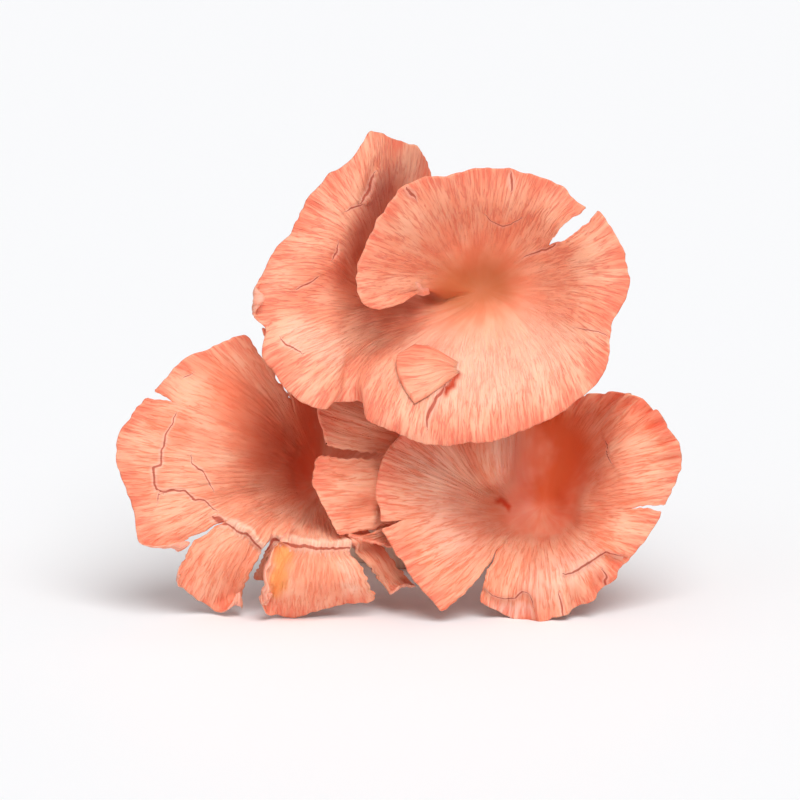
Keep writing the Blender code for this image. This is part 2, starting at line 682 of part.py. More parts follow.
def solid(name, points, faces, material):
    """An object in metres, with its faces turned outwards."""
    points = np.array(points)
    faces = np.array(faces)
    a, b, c = points[faces].transpose(1, 0, 2)
    if (a * np.cross(b, c)).sum() < 0:
        faces = faces[:, ::-1]
    mesh = bpy.data.meshes.new(name)
    mesh.from_pydata(((points - MIDDLE) * MM).tolist(), [], faces.tolist())
    if material:
        mesh.materials.append(material)
    mesh.shade_smooth()
    mesh.set_sharp_from_angle(angle=SHARP_EDGE)
    obj = bpy.data.objects.new(name, mesh)
    bpy.context.scene.collection.objects.link(obj)
    return obj


def skin(name, colour, roughness):
    material = bpy.data.materials.new(name)
    material.use_nodes = True
    shader = material.node_tree.nodes["Principled BSDF"]
    shader.inputs["Base Color"].default_value = (*colour, 1)
    shader.inputs["Roughness"].default_value = roughness
    return material


for old in list(bpy.data.objects):
    bpy.data.objects.remove(old)

stem_base = foot("stem_base", skin("foot skin", (0.93, 0.8, 0.7), 0.7))
for name, cap, colour in (
    ("mushroom_top", placed(TOP), (0.93, 0.5, 0.38)),
    ("mushroom_left", placed(LEFT), (0.92, 0.46, 0.34)),
    ("mushroom_right", placed(RIGHT), (0.93, 0.48, 0.34)),
):
    body, turns = mushroom(name, cap, skin(name + " skin", colour, 0.6))
    cut = stem_base.modifiers.new(name + " socket", "BOOLEAN")
    cut.operation = "DIFFERENCE"
    cut.solver = "EXACT"
    cut.object = socket_cutter(name + "_socket", cap, turns)
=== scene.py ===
"""The looks of the oyster mushroom cluster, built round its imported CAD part.

Lengths are in millimetres until a mesh is made. The caps repeat the part's own
formulas on a finer grid and add what the solids leave out: torn and curled edges,
cracks, ruffled margins, fine gills and the skin's streaks. A place on a cap is
written as it is seen from the front: how far across and how far up.
"""

import math

import bpy
import numpy as np
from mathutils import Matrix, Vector


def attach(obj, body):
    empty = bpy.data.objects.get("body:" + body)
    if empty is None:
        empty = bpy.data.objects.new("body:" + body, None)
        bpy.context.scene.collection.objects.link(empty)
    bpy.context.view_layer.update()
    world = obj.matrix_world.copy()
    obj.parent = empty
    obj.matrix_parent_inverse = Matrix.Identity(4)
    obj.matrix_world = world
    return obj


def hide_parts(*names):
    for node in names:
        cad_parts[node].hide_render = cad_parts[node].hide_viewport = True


MM = 0.001
VIEW_TILT = math.radians(12)
MIDDLE = np.array([-0.1, 37.0, 0.0])

# The part's own formulas use these rows and sizes.
ROWS = (0, 0.05, 0.12, 0.21, 0.32, 0.44, 0.56, 0.68, 0.79, 0.9, 1.0)
THROAT_RADIUS = 0.6
THROAT_PULL = 0.1
NARROWEST_TURN = 0.4
LIP = 1.6
LIP_FROM = 0.78
FLESH_AT_STEM = 4.5
COLLAR_ROW = 0.3
STEM_TOP_RADIUS = 6.5
STEM_TOP_DROP = 3.5
FOOT_CENTRE = np.array([4.0, 73.0, 8.0])
FOOT_RADII = np.array([20.0, 16.0, 15.0])

# The finer grid and what it adds.
COLUMNS = 460
LINES = 88
STEM_LINES = 20
STEPS_ALONG = np.linspace(0, 1, 97)
FLESH_AT_RIM = 0.75
GILL_DEPTH = 1.5
GILL_SLOPE = 0.9
GILL_SHAPE = np.array([0, 0.35, 1, 0.35])
EDGE_BULGE = 0.35
CRACK_DEPTH = 0.25
CRACK_LIP = 2.4
SHORTEST_CURL = 0.2
FRAY = 3.0
TONGUE_LENGTH = 13.0
TONGUE_STEPS = 40
FOOT_GRID = (221, 110)
ROOT_BLEND = 3.0
ROOT_FLARE = 0.9
ROOT_TAPER = 0.1
FIRST_ROOT_RING = 9
FOOT_REACH = 32.0
FOOT_HALVINGS = 12
ROWS_CLOSER_AT_RIM = 1.12
SMOOTHINGS = 24
NOT_NEAR = 99.0

# The streaks' noise is read this far apart, so that no two parts have the same streaks.
LOBE_FLOW = 10.0
STEM_FLOW = 200.0
FOOT_FLOW = 300.0
TONGUE_FLOW = 400.0

# A lobe is a list of lines from near the throat to the rim. Each place on a line says how far
# across, how far up and how deep. The tear after a lobe starts at the row `apex` and widens by
# the power `opening`. These are the part's own lines, but one tear in the top cap ends farther
# out here, and one flap of the left cap hangs lower.
TOP = dict(
    throat=(19.1, 77.9, 29.5),
    axis=(0.0, -0.86, 0.5),
    lobes=[
        dict(apex=6, opening=1.8, stations=[
            [(11, 77.4, 28), (6.1, 80.2, 33), (8.6, 95.6, 39)],
            [(9.8, 77.2, 28.5), (2.6, 81.4, 35), (4.4, 97.7, 39), (7.5, 105.8, 37)],
            [(8.9, 76.7, 29), (-0.2, 82.1, 35), (1.2, 97.7, 36), (5.6, 110.5, 33)],
            [(8.2, 76.5, 29.5), (-2.1, 82.1, 34), (-1.6, 97.7, 33), (-0.5, 108.2, 25), (0.2, 113.1, 26)],
            [(7.5, 76.2, 30), (-3.3, 81.1, 33.5), (-3.5, 95.3, 31), (-4.9, 107, 20), (-5.1, 115.2, 22)],
            [(7, 76, 30), (-4, 80.2, 33), (-5.8, 91.4, 28), (-9.1, 101.2, 16), (-11.4, 108.2, 18)],
            [(6.5, 75.8, 30), (-4.4, 79, 32.5), (-7.7, 87.2, 26), (-11, 95.3, 14), (-17.5, 103, 14)],
            [(6.1, 75.5, 30), (-4.9, 78.1, 32), (-9.1, 84.4, 24), (-13.1, 91.4, 12), (-21.9, 95.3, 11)],
            [(5.6, 75.3, 29.5), (-5.4, 77.2, 31), (-10.3, 81.4, 22), (-15.6, 86.7, 10), (-27.7, 88.8, 8)],
            [(5.1, 74.8, 29), (-5.8, 76, 29), (-11.4, 78.3, 20), (-18.9, 81.1, 9), (-31.9, 80.7, 5)],
            [(4.9, 74.1, 28), (-6.3, 74.6, 26), (-13.3, 75.1, 15), (-32.9, 75.5, 3)],
            [(4.7, 73.2, 27), (-6.8, 72.5, 22), (-17.2, 71.3, 8), (-31.2, 66.9, 0)],
            [(4.7, 72, 26), (-7.2, 69.5, 17), (-17.9, 65, 2), (-28.9, 59.7, -5)],
            [(4.9, 70.9, 25), (-6.8, 66.7, 14), (-14.9, 60.4, 0), (-23.1, 53.8, -8)],
            [(5.1, 69.9, 24.5), (-5.8, 65, 13), (-11, 59.2, 3), (-15.2, 51.7, -8)],
            [(5.6, 69, 24), (-4.4, 63.9, 12.5), (-8.6, 59.7, 5), (-11.7, 54.1, -3)],
            [(6.5, 68.3, 22.5), (-1.6, 62.9, 10), (-5.6, 58, 0), (-9.1, 51.5, -11)],
            [(8.4, 67.4, 20), (2.6, 61.1, 6), (-3.7, 48, -13)],
            [(12.4, 66.7, 18), (9.6, 58.7, 3), (6.5, 43.8, -15)],
            [(19.3, 66, 16), (19.3, 55.7, 0), (19.1, 44.8, -15)],
            [(25.9, 66.7, 16), (28.2, 58, 1), (29.1, 47.1, -14)],
            [(30.5, 68.8, 16.5), (35.2, 61.5, 3), (38, 51.5, -10)],
            [(32.9, 71.6, 17), (40.3, 66.2, 5), (46.9, 59, -5)],
            [(34, 75.3, 17.5), (42.2, 72.3, 6), (47.8, 69, -1)],
            [(34.5, 78.8, 17.5), (44.5, 79.3, 6), (52.4, 77.9, 2)],
            [(33.8, 82.8, 17.5), (43.8, 85.8, 7), (50.6, 88.8, 3)],
            [(32.4, 85.8, 18), (40.1, 89.5, 8), (45.7, 95.3, 4)],
        ]),
        dict(apex=5, opening=2.2, stations=[
            [(31.5, 86.5, 18.5), (36.6, 92.3, 8), (42.7, 96.5, 5)],
            [(28.7, 88.8, 19), (32.4, 96, 10), (35.7, 101.6, 7)],
            [(21.2, 90.2, 19.5), (21.7, 97.7, 10), (22.8, 105.1, 7)],
            [(15.4, 89.3, 19.5), (13.8, 97, 10), (12.4, 103.3, 5)],
            [(11.9, 86.2, 20), (7.2, 94.6, 9), (2.3, 101.4, 2)],
            [(10.7, 83.9, 21), (3, 90.2, 8), (-2.6, 95.1, -1)],
            [(10.3, 81.8, 22), (0.7, 84.8, 7), (-6.5, 87.2, -3)],
            [(10.3, 80, 23), (-0.2, 80.7, 7), (-8.6, 80.2, -4)],
            [(10.5, 78.3, 24.5), (0.9, 77.6, 8), (-7.5, 76, -4)],
            [(11, 77.2, 26), (4.9, 76, 12), (0.2, 74.6, 2), (-3.7, 73.9, -2)],
        ]),
    ],
    stem=[(19, 52, 58), (6, 72, 42), (3, 76, 18)],
    stem_radii=(7.0, 5.8, 5.5, 6.5),
)

LEFT = dict(
    throat=(-19.3, 34, 42),
    axis=(-0.2, -0.92, 0.3),
    lobes=[
        dict(apex=9, opening=1.0, stations=[
            [(-22.4, 41.5, 36), (-26.1, 50.3, 27), (-30.5, 58.7, 21), (-35.4, 66.7, 17)],
            [(-23.8, 42.9, 35), (-30.5, 52.7, 22), (-41.3, 64.8, 14)],
            [(-25.4, 42.4, 34), (-34.7, 51.3, 18), (-50.1, 60.4, 10)],
            [(-26.6, 40.6, 33), (-37.5, 46.6, 15), (-55.9, 54.3, 7)],
        ]),
        dict(apex=7, opening=1.0, stations=[
            [(-26.8, 39.9, 33), (-38, 45.2, 15), (-58, 52.4, 6)],
            [(-27.3, 38.2, 32), (-39.2, 41.5, 14), (-61.8, 48, 4)],
            [(-27.5, 36.4, 31), (-39.6, 37.8, 13), (-65, 41.3, 3)],
            [(-27.5, 34.5, 30), (-39.6, 34.3, 12), (-64.3, 35, 2)],
            [(-27.3, 32.6, 29), (-39.4, 31, 11), (-61.3, 26.1, 2)],
            [(-27, 31.2, 28), (-38.9, 28.4, 10), (-58.7, 17.2, 1)],
            [(-26.8, 30.3, 28), (-38.2, 26.3, 10), (-55, 16.6, 2)],
        ]),
        dict(apex=6, opening=1.2, lip=0, stations=[
            [(-26.3, 29.4, 27), (-36.4, 24.7, 8), (-45.7, 19.6, 5), (-52.7, 10.7, 4)],
            [(-25.4, 28.2, 26), (-34.3, 22.6, 6), (-41.3, 13.8, 3), (-45.2, 4.2, 8)],
            [(-24, 27.3, 25), (-31, 21.2, 5), (-35.7, 12.1, 3), (-37.8, 2.8, 11)],
        ]),
        dict(apex=6, opening=1.0, stations=[
            [(-23.1, 26.8, 25), (-28.9, 20.3, 10), (-34.7, 9.3, 18)],
            [(-22.4, 26.6, 25), (-27.7, 20, 9), (-31, 8.4, 17)],
        ]),
        dict(apex=6, opening=1.3, lip=0, stations=[
            [(-21.7, 26.3, 25), (-26.3, 19.1, 2), (-31.9, 12.1, -1), (-33.8, 4.2, 3)],
            [(-20.5, 25.9, 25), (-23.5, 17.7, 1), (-25.9, 10.3, -2), (-26.8, 1.2, 5)],
            [(-18.6, 25.6, 25), (-17.9, 17.5, 1), (-17.9, 10.3, -2), (-18.2, 3, 5)],
            [(-16.6, 26.1, 26), (-12.6, 17.7, 3), (-9.1, 11.4, 0), (-5.8, 5.4, 7)],
        ]),
        dict(apex=5, opening=1.0, stations=[
            [(-15.2, 26.6, 27), (-10, 18.2, 7), (-2.6, 7, 10)],
            [(-14, 27.5, 29), (-5.6, 18.9, 11), (3.7, 7.9, 12)],
        ]),
        dict(apex=5, opening=1.0, stations=[
            [(-13.1, 28.4, 32), (-4.7, 22.8, 20), (0.2, 14.9, 9)],
            [(-12.6, 29.1, 34), (-2.6, 26.1, 25), (-3, 22.6, 12), (-12.4, 19.3, 0)],
        ]),
        dict(apex=5, opening=1.0, stations=[
            [(-12.4, 29.8, 35), (-0.5, 27.5, 33), (-0.2, 24.5, 13), (-14.5, 19.8, 5)],
            [(-12.1, 31.2, 36), (-0.5, 32.6, 34), (-0.7, 33.1, 12), (-20.3, 33.1, 8)],
            [(-12.1, 32.6, 37), (-0.5, 35.9, 35), (-0.7, 37.3, 14), (-20, 38.7, 9)],
        ]),
        dict(apex=5, opening=1.0, stations=[
            [(-12.1, 33.8, 38), (-0.7, 38.7, 36), (-0.7, 40.1, 17), (-17.7, 41.5, 12)],
            [(-12.6, 35.2, 39), (-1.2, 43.4, 38), (-1.6, 45.2, 19), (-19.6, 51, 16)],
            [(-13.3, 36.8, 40), (-2.1, 47.6, 39), (-3.5, 50.3, 24), (-16.1, 56.9, 24)],
        ]),
        dict(apex=5, opening=1.0, stations=[
            [(-14, 38.2, 41), (-7.2, 49.9, 42), (-3.3, 58.7, 44)],
            [(-16.3, 40.1, 41), (-14.9, 52.2, 40), (-13.8, 65, 38)],
            [(-18.6, 41.5, 40), (-20.5, 53.1, 34), (-22.4, 67.6, 29)],
            [(-20.5, 42, 38), (-24.9, 52.7, 27), (-31, 68.3, 19)],
        ]),
    ],
    stem=[(-16, 58, 22), (-12, 64, 15), (-5, 70, 11)],
    stem_radii=(7.0, 6.0, 5.8, 6.2),
)

RIGHT = dict(
    throat=(34, 27.7, 43),
    axis=(0.2, -0.92, 0.3),
    lobes=[
        dict(apex=8, opening=1.0, stations=[
            [(29.6, 22.6, 33), (25.6, 18.9, 14), (21.2, 12.1, 4), (19.8, 4.7, 2)],
            [(31.2, 22.1, 33), (29.1, 17.7, 14), (26.8, 10.3, 3), (25.6, 1.2, 4)],
            [(33.6, 21.9, 33), (33.3, 17.5, 14), (33.6, 9.8, 1), (34.3, 0.2, 1)],
            [(35.7, 22.1, 33), (36.6, 18.2, 14), (39.2, 11.2, 2), (41.3, 3, 2)],
            [(37.5, 22.8, 33), (39.9, 19.6, 15), (44.1, 14.5, 4), (48.7, 7.9, 4)],
            [(38.7, 23.8, 33), (42, 21.2, 16), (47.6, 18.2, 6), (53.4, 14.5, 5)],
            [(39.4, 24.9, 34), (43.1, 23.3, 17), (50.1, 22.4, 8), (58, 21, 6)],
            [(39.9, 26.1, 34), (43.8, 25.6, 18), (51.7, 26.1, 8.5), (61.1, 26.1, 7)],
        ]),
        dict(apex=9, opening=1.0, stations=[
            [(40.1, 26.8, 34), (44.1, 26.8, 18), (52, 27.3, 9), (62, 27.7, 7)],
            [(40.6, 28.7, 35), (44.5, 29.8, 20), (52, 31.5, 10), (64.6, 33.6, 7)],
            [(40.8, 30.8, 37), (45, 33.6, 24), (51.5, 37.3, 11), (65, 40.6, 8)],
            [(40.6, 32.9, 39), (45, 37.8, 29), (50.6, 42.9, 15), (59.7, 49.4, 13)],
            [(39.9, 34.7, 41), (44.3, 42.9, 35), (53.4, 53.1, 21)],
            [(38.2, 36.4, 43), (41.5, 45.2, 39), (46.4, 53.1, 30)],
            [(35.9, 37.3, 44), (37.5, 45.7, 41), (39.4, 51.7, 36)],
            [(33.1, 36.8, 43), (33.3, 45.2, 41), (32.4, 50.3, 36)],
            [(30.5, 35.4, 40), (30.1, 42.9, 37), (30.1, 51.3, 33)],
            [(28.7, 33.8, 35), (27.7, 40.6, 28), (27.3, 51.3, 26)],
            [(27, 32.4, 29), (25.9, 38.5, 16), (24.9, 51.3, 16)],
            [(25.9, 31.2, 25), (23.3, 37.1, 10), (22.6, 50.8, 11)],
            [(24.7, 30.1, 23), (19.8, 36.4, 12), (17.2, 49.2, 13)],
            [(23.8, 29.1, 23), (15.6, 35.2, 11), (7.2, 46.4, 9)],
            [(23.3, 28, 23), (13.1, 33.1, 10), (-1.9, 40.6, 5)],
            [(23.3, 26.8, 24), (11.4, 30.3, 9), (-4.2, 33.1, 3)],
            [(23.8, 25.6, 25), (11, 27, 8), (-3.5, 24.2, 1)],
        ]),
        dict(apex=6, opening=1.0, stations=[
            [(24, 24.9, 26), (11.9, 25.4, 8), (-3, 22.4, 0)],
            [(25.2, 24, 28), (14.7, 21.2, 7), (1.2, 15.4, -1)],
            [(26.6, 23.3, 30), (17.9, 17.5, 6), (5.8, 8.4, -2)],
            [(28.2, 22.8, 32), (23.1, 18.2, 12), (18.4, 11.4, 3), (10.7, 3, -2)],
        ]),
    ],
    stem=[(31, 60, 19), (24, 66, 13), (15, 71, 10)],
    stem_radii=(7.0, 6.0, 5.8, 6.2),
)

# What each cap adds to its solid. A mark starts with the numbers of the lobes it is on. Ruffles,
# pools of colour, cracks and creases go on with a half width, a height, strength, step or drop,
# and a line. Of the three kinds of pool, in the order they are listed: the first is painted shade
# in the throats, in the valley beside the top cap's front lobe and deep in the funnels; the second
# is stains, and painted shadow in that valley and in a hole by the tongue; the third makes the
# flesh paler, bare where the skin is torn, and is painted light on the right cap's ridge and left
# part. A curl is a lobe, an end of it, where along that end, how wide, how long and how tight. A
# tab lengthens the rim, a fill evens out the end of a valley, and a tongue has its first, middle
# and last lines, which start at its root, and its lift.
NO_MARKS = dict.fromkeys(("ruffles", "shade_pools", "stains_and_shade", "bare_and_lit", "cracks", "creases"), ())
NO_MARKS |= dict.fromkeys(("curls", "tabs", "fills", "tongues", "plain_under"), ())
TOP["look"] = NO_MARKS | dict(
    seed=31, fold=0.7, ruffle=0.35, torn=0.35, wave=4.2, reach=6.0,
    ruffles=[((0,), 5.0, 0.5, [(-30.1, 75.5), (-23.1, 91.8), (-12.6, 105.8)])],
    # Painted shade: a dark tan pool round the throat, and a fainter one down the valley beside the front
    # lobe.
    shade_pools=[
        ((0, 1), 8.5, 0.95, [(13.8, 77.9), (20.7, 79.3)]),
        ((0,), 4.5, 0.45, [(-3.5, 95.3), (-6.8, 86), (-11.4, 76.9), (-3.5, 74.1)]),
    ],
    # Painted shadow: a dark pool down the valley beside the front lobe, and a dark hole beside the tongue.
    stains_and_shade=[
        ((0,), 6.0, 0.6, [(-3, 99.3), (-7.2, 88.3), (-11, 79), (-7.2, 74.1), (0.7, 75.1)]),
        ((0,), 1.3, 1.0, [(13.8, 57.6), (11.9, 55.5), (10.5, 54.3)]),
    ],
    # Paler patches low on the cap and near its lower left rim.
    bare_and_lit=[
        ((0,), 11.0, 0.75, [(9.6, 58.7), (23.5, 58.7), (32.9, 63.9)]),
        ((0,), 5.0, 0.6, [(-23.1, 67.4), (-16.1, 63.9)]),
    ],
    cracks=[
        ((0,), 0.35, 0.4, [(-5.6, 104.7), (-6.3, 102.6), (-7.2, 100.9), (-8.9, 99.5), (-9.1, 98.1)]),
        ((0,), 0.25, 0.2, [(-12.6, 96), (-11, 97), (-8.9, 97.7)]),
        ((0,), 0.25, 0.2, [(-14, 88.3), (-14.2, 86.7), (-15.4, 85.5)]),
        ((0,), 0.22, 0.15, [(-24.2, 78.1), (-20.7, 79.7), (-18.6, 81.1)]),
        ((0,), 0.3, 0.25, [(-27.3, 66.4), (-26.1, 65), (-24.5, 64.6), (-22.8, 63.4)]),
        ((0,), 0.5, -0.6, [(10.3, 55), (8.6, 52.4), (7, 49.2), (6.3, 46.4)]),
        ((0,), 0.2, 0.2, [(42, 68.8), (44.5, 68.1), (48, 67.6)]),
        ((1,), 0.3, 0.25, [(19.8, 95.3), (21.2, 93.9), (24, 92.5), (26.3, 92.8), (28, 94.2)]),
        ((0, 1), 0.3, 0.3, [(38, 89.7), (35.7, 87.9), (33.3, 87.2), (29.4, 85.5)]),
        ((1,), 0.45, 0.2, [(26.1, 105.1), (26.1, 103.5), (26.3, 100.9)]),
        ((1,), 0.5, 0.2, [(1.9, 101.6), (2.8, 100.7), (3.7, 99.3)]),
    ],
    creases=[
        ((0,), 1.5, 1.5, [(-11, 61.1), (-11.9, 53.8)]),
        ((0,), 5.0, -1.6, [(-7.9, 71.3), (0.2, 71.8)]),
        ((0,), 2.5, 0.5, [(44.5, 63.9), (46.9, 67.8)]),
    ],
    curls=[(0, "rim", 0.6, 0.2, 7.0, -5.0), (0, "rim", 0.342, 0.014, 3.6, 1.0)],
    tabs=[
        (0, 0.342, 0.011, 2.8),
        (0, 0.367, 0.008, -1.5),
        (0, 0.387, 0.01, 1.3),
        (0, 0.24, 0.015, 0.9),
        (0, 0.275, 0.012, -0.7),
    ],
    fills=[(0, 130, 0.1, 0.44)],
    tongues=[
        (
            0,
            [
                [(16.1, 60.1), (10.5, 62.5), (6.8, 64.3), (3.5, 64.6), (0.9, 62.9)],
                [(16.1, 60.1), (9.6, 59.2), (4, 58.3), (-0.5, 58.3)],
                [(16.1, 60.1), (13.3, 58), (9.6, 54.8), (6.5, 52.7), (3.5, 51)],
            ],
            1.9,
        ),
    ],
)
LEFT["look"] = NO_MARKS | dict(
    seed=47, fold=0.6, ruffle=0.25, torn=1.0, wave=5.0, reach=4.0,
    plain_under=(6, 7, 8),
    # Painted shade: saturated red on the deep back wall, deep in the funnel, and where the top cap's
    # shadow falls on the left fan.
    shade_pools=[
        ((0, 1, 2, 3, 4, 5, 6, 7, 8, 9), 3.6, 0.85, [(-23.1, 53.4), (-21.9, 45.2), (-21.2, 35.9)]),
        ((0, 1, 2, 3, 4), 7.0, 0.5, [(-26.6, 45.2), (-25.4, 33.6)]),
        ((0, 1), 8.0, 0.65, [(-38.9, 52.7), (-34.7, 48.7), (-30.5, 40.6)]),
    ],
    stains_and_shade=[((4,), 2.2, 0.9, [(-26.3, 15.9), (-27.7, 12.6), (-28.4, 8.4)])],
    bare_and_lit=[
        ((1, 2, 3, 4, 5), 0.9, 0.9, [
            (-40.1, 23.8), (-35.9, 22.1), (-31.9, 18.4), (-26.6, 19.3), (-18.9, 18.4),
            (-12.1, 18.4),
        ]),
        ((4,), 2.0, 0.8, [(-29.6, 13.8), (-31, 7.9)]),
        ((4,), 2.2, 0.6, [(-12.6, 13.8), (-11, 7.9)]),
    ],
    cracks=[
        ((1,), 0.35, 0.3, [
            (-52.2, 48.7), (-53.8, 45.9), (-54.8, 43.1), (-55.5, 40.8), (-55.7, 37.1),
            (-57.3, 36.4), (-57.1, 32.4), (-56.6, 31), (-52.2, 30.8), (-49.9, 31), (-47.6, 29.1),
            (-45.7, 28.7), (-42.9, 26.8),
        ]),
        ((1,), 0.25, 0.2, [(-48.7, 38.7), (-48, 37.3), (-46.2, 35.7), (-44.8, 33.8), (-43.4, 31.7)]),
        ((1,), 0.2, 0.15, [(-55.9, 30.5), (-56.2, 28.2)]),
        ((0,), 0.2, 0.15, [(-50.3, 57.3), (-48.5, 58.5)]),
        ((1, 2), 1.2, 0.5, [(-42.7, 24.5), (-41, 23.3)]),
        ((2, 3, 4, 5), 0.3, 1.3, [
            (-41.3, 24), (-36.4, 21.2), (-34, 19.3), (-31.7, 16.8), (-29.6, 19.6), (-27, 18.4),
            (-23.8, 17.9), (-19.1, 17.5), (-11.7, 17.7),
        ]),
    ],
    creases=[
        ((6, 7, 8), 1.4, -1.0, [(-12.6, 34), (-8.6, 32.6), (-6.3, 34)]),
        ((6, 7, 8), 1.2, 1.0, [(-13.1, 30.8), (-9.6, 29.4), (-5.6, 31.2)]),
        ((6, 7, 8), 1.5, -1.0, [(-11, 25.9), (-7.7, 27.7), (-3.5, 27)]),
        ((6, 7, 8), 1.2, 1.0, [(-6.3, 35.9), (-4.9, 30.3), (-6.3, 24.2)]),
        ((8,), 1.4, -0.6, [(-13.8, 45.2), (-8.6, 43.8), (-3.3, 45)]),
        ((1,), 2.5, 0.6, [(-62.7, 35.9), (-58, 33.6), (-53.4, 24.2)]),
        ((0,), 2.5, -0.6, [(-46.4, 56.9), (-40.6, 47.6)]),
    ],
    curls=[
        (1, "rim", 0.97, 0.12, 6.0, 1.5),
        (2, "rim", 0.93, 0.2, 6.0, 1.4),
        (2, "rim", 0.0, 0.12, 3.0, 1.4),
        (4, "rim", 0.0, 0.12, 5.5, 1.4),
        (4, "first", 0.85, 0.3, 4.0, 1.4),
        (5, "rim", 0.5, 1.5, 5.0, 2.0),
    ],
)
RIGHT["look"] = NO_MARKS | dict(
    seed=63, fold=0.6, ruffle=0.5, torn=0.6, wave=4.4, reach=8.0,
    ruffles=[
        ((1, 2), 6.5, 1.2, [(41, 52.2), (56.2, 51.7), (64.6, 40.6)]),
        ((0,), 4.5, 0.7, [(37.5, 2.1), (48, 7.9), (53.8, 14.9)]),
    ],
    # Painted shade: a dark orange pool deep in the hollow under the top cap.
    shade_pools=[((0, 1, 2), 6.0, 0.95, [(36.6, 46.4), (40.8, 40.6), (35.7, 31.2)])],
    stains_and_shade=[((0, 1, 2), 1.1, 1.0, [(23.5, 28.7), (24.9, 27.5), (25.6, 27)])],
    # Paler flesh: bare along the torn rim low at the left; painted light down the ridge; paler low on the
    # cap; and painted light on the left part, which turns away from the lamps.
    bare_and_lit=[
        ((0,), 2.4, 1.0, [(21.2, 3), (24.7, 2.6), (29.8, 2.8)]),
        ((0, 1, 2), 5.0, 0.55, [(24.7, 42.9), (26.3, 34.7), (28.7, 27.7)]),
        ((0,), 5.0, 0.5, [(32.9, 9.1), (44.5, 14.9)]),
        ((0, 1, 2), 9.0, 0.4, [(6.1, 39.4), (10.7, 28.9), (13.1, 21.9)]),
    ],
    cracks=[
        ((0,), 0.3, 1.1, [
            (39.2, 11.7), (42, 12.4), (44.8, 14.2), (46.6, 15.4), (48.5, 16.8), (51.7, 15.9),
        ]),
        ((0,), 0.35, 0.2, [(37.3, 7), (37.8, 4), (38.2, 0.2)]),
        ((0,), 0.3, 0.4, [(47.6, 12.6), (48.3, 10.3), (49, 7.5)]),
        ((0,), 0.25, 0.7, [
            (19.8, 7.9), (22.1, 6.1), (24.7, 5.6), (27.3, 5.8), (28.9, 7.7), (30.8, 7.2),
            (31.7, 4.2),
        ]),
        ((1,), 0.2, 0.2, [(48, 42.7), (48.5, 40.1), (49.9, 37.5)]),
    ],
)


def seen(across, up, depth):
    """A point by how far across, up and deep it is seen from the front, a little from above."""
    return np.array([across, depth, (up - depth * math.sin(VIEW_TILT)) / math.cos(VIEW_TILT)])


def as_seen(points):
    """How far across and up each point is seen."""
    up = points[..., 2] * math.cos(VIEW_TILT) + points[..., 1] * math.sin(VIEW_TILT)
    return np.stack([points[..., 0], up], axis=-1)


def placed(cap):
    """The cap with its measured places turned into points."""
    lobes = []
    for lobe in cap["lobes"]:
        stations = [[seen(*place) for place in station] for station in lobe["stations"]]
        lobes.append(dict(lobe, stations=stations))
    return dict(cap, throat=seen(*cap["throat"]), axis=unit(np.array(cap["axis"])), lobes=lobes)


def unit(vectors):
    return vectors / np.maximum(np.linalg.norm(vectors, axis=-1, keepdims=True), 1e-9)


def ramp(x, low, high):
    t = np.clip((x - low) / (high - low), 0, 1)
    return t * t * (3 - 2 * t)


def bell(x):
    """A soft bump, 1 high where x is 0."""
    return np.exp(-(x**2))


def distances(line):
    """How far along a line each of its points is."""
    return np.concatenate([[0], np.cumsum(np.linalg.norm(np.diff(line, axis=0), axis=1))])


def read(line, knots, at):
    """The points of a line at some places along it."""
    return np.stack([np.interp(at, knots, column) for column in line.T], axis=-1)


def eased(t, start, leave, end, arrive):
    """A smooth way from start to end that leaves and arrives along two slopes."""
    return (
        (2 * t**3 - 3 * t**2 + 1) * start
        + (t**3 - 2 * t**2 + t) * leave
        + (3 * t**2 - 2 * t**3) * end
        + (t**3 - t**2) * arrive
    )


def noise(x, y, seed):
    """Smooth random heights from -1 to 1, one cell to each unit of x and y."""
    table = np.random.RandomState(seed).rand(64, 64) * 2 - 1
    x, y = np.broadcast_arrays(np.asarray(x, float), np.asarray(y, float))
    i, j = np.floor(x).astype(int), np.floor(y).astype(int)
    fx, fy = ramp(x - i, 0, 1), ramp(y - j, 0, 1)
    i, j = i % 64, j % 64
    i2, j2 = (i + 1) % 64, (j + 1) % 64
    low = table[i, j] * (1 - fx) + table[i2, j] * fx
    high = table[i, j2] * (1 - fx) + table[i2, j2] * fx
    return low * (1 - fy) + high * fy


def through(points, knots, at, first=None, last=None):
    """Smooth curves through the points, read at the given places along them."""
    shape = (-1,) + (1,) * (points.ndim - 1)
    gaps = np.diff(knots)
    steps = np.diff(points, axis=0) / gaps.reshape(shape)
    wide = gaps[:-1] + gaps[1:]
    slopes = np.empty_like(points)
    slopes[1:-1] = steps[:-1] * (gaps[1:] / wide).reshape(shape)
    slopes[1:-1] += steps[1:] * (gaps[:-1] / wide).reshape(shape)
    slopes[0] = steps[0] if first is None else first
    slopes[-1] = steps[-1] if last is None else last
    k = np.clip(np.searchsorted(knots, at, side="right") - 1, 0, len(gaps) - 1)
    t = ((at - knots[k]) / gaps[k]).reshape(shape)
    gap = gaps[k].reshape(shape)
    return eased(t, points[k], gap * slopes[k], points[k + 1], gap * slopes[k + 1])


def cross_axes(axis):
    """Two directions square to the axis and to each other."""
    side = unit(np.cross(np.array([0.0, 0.0, 1.0]), axis))
    return side, np.cross(axis, side)


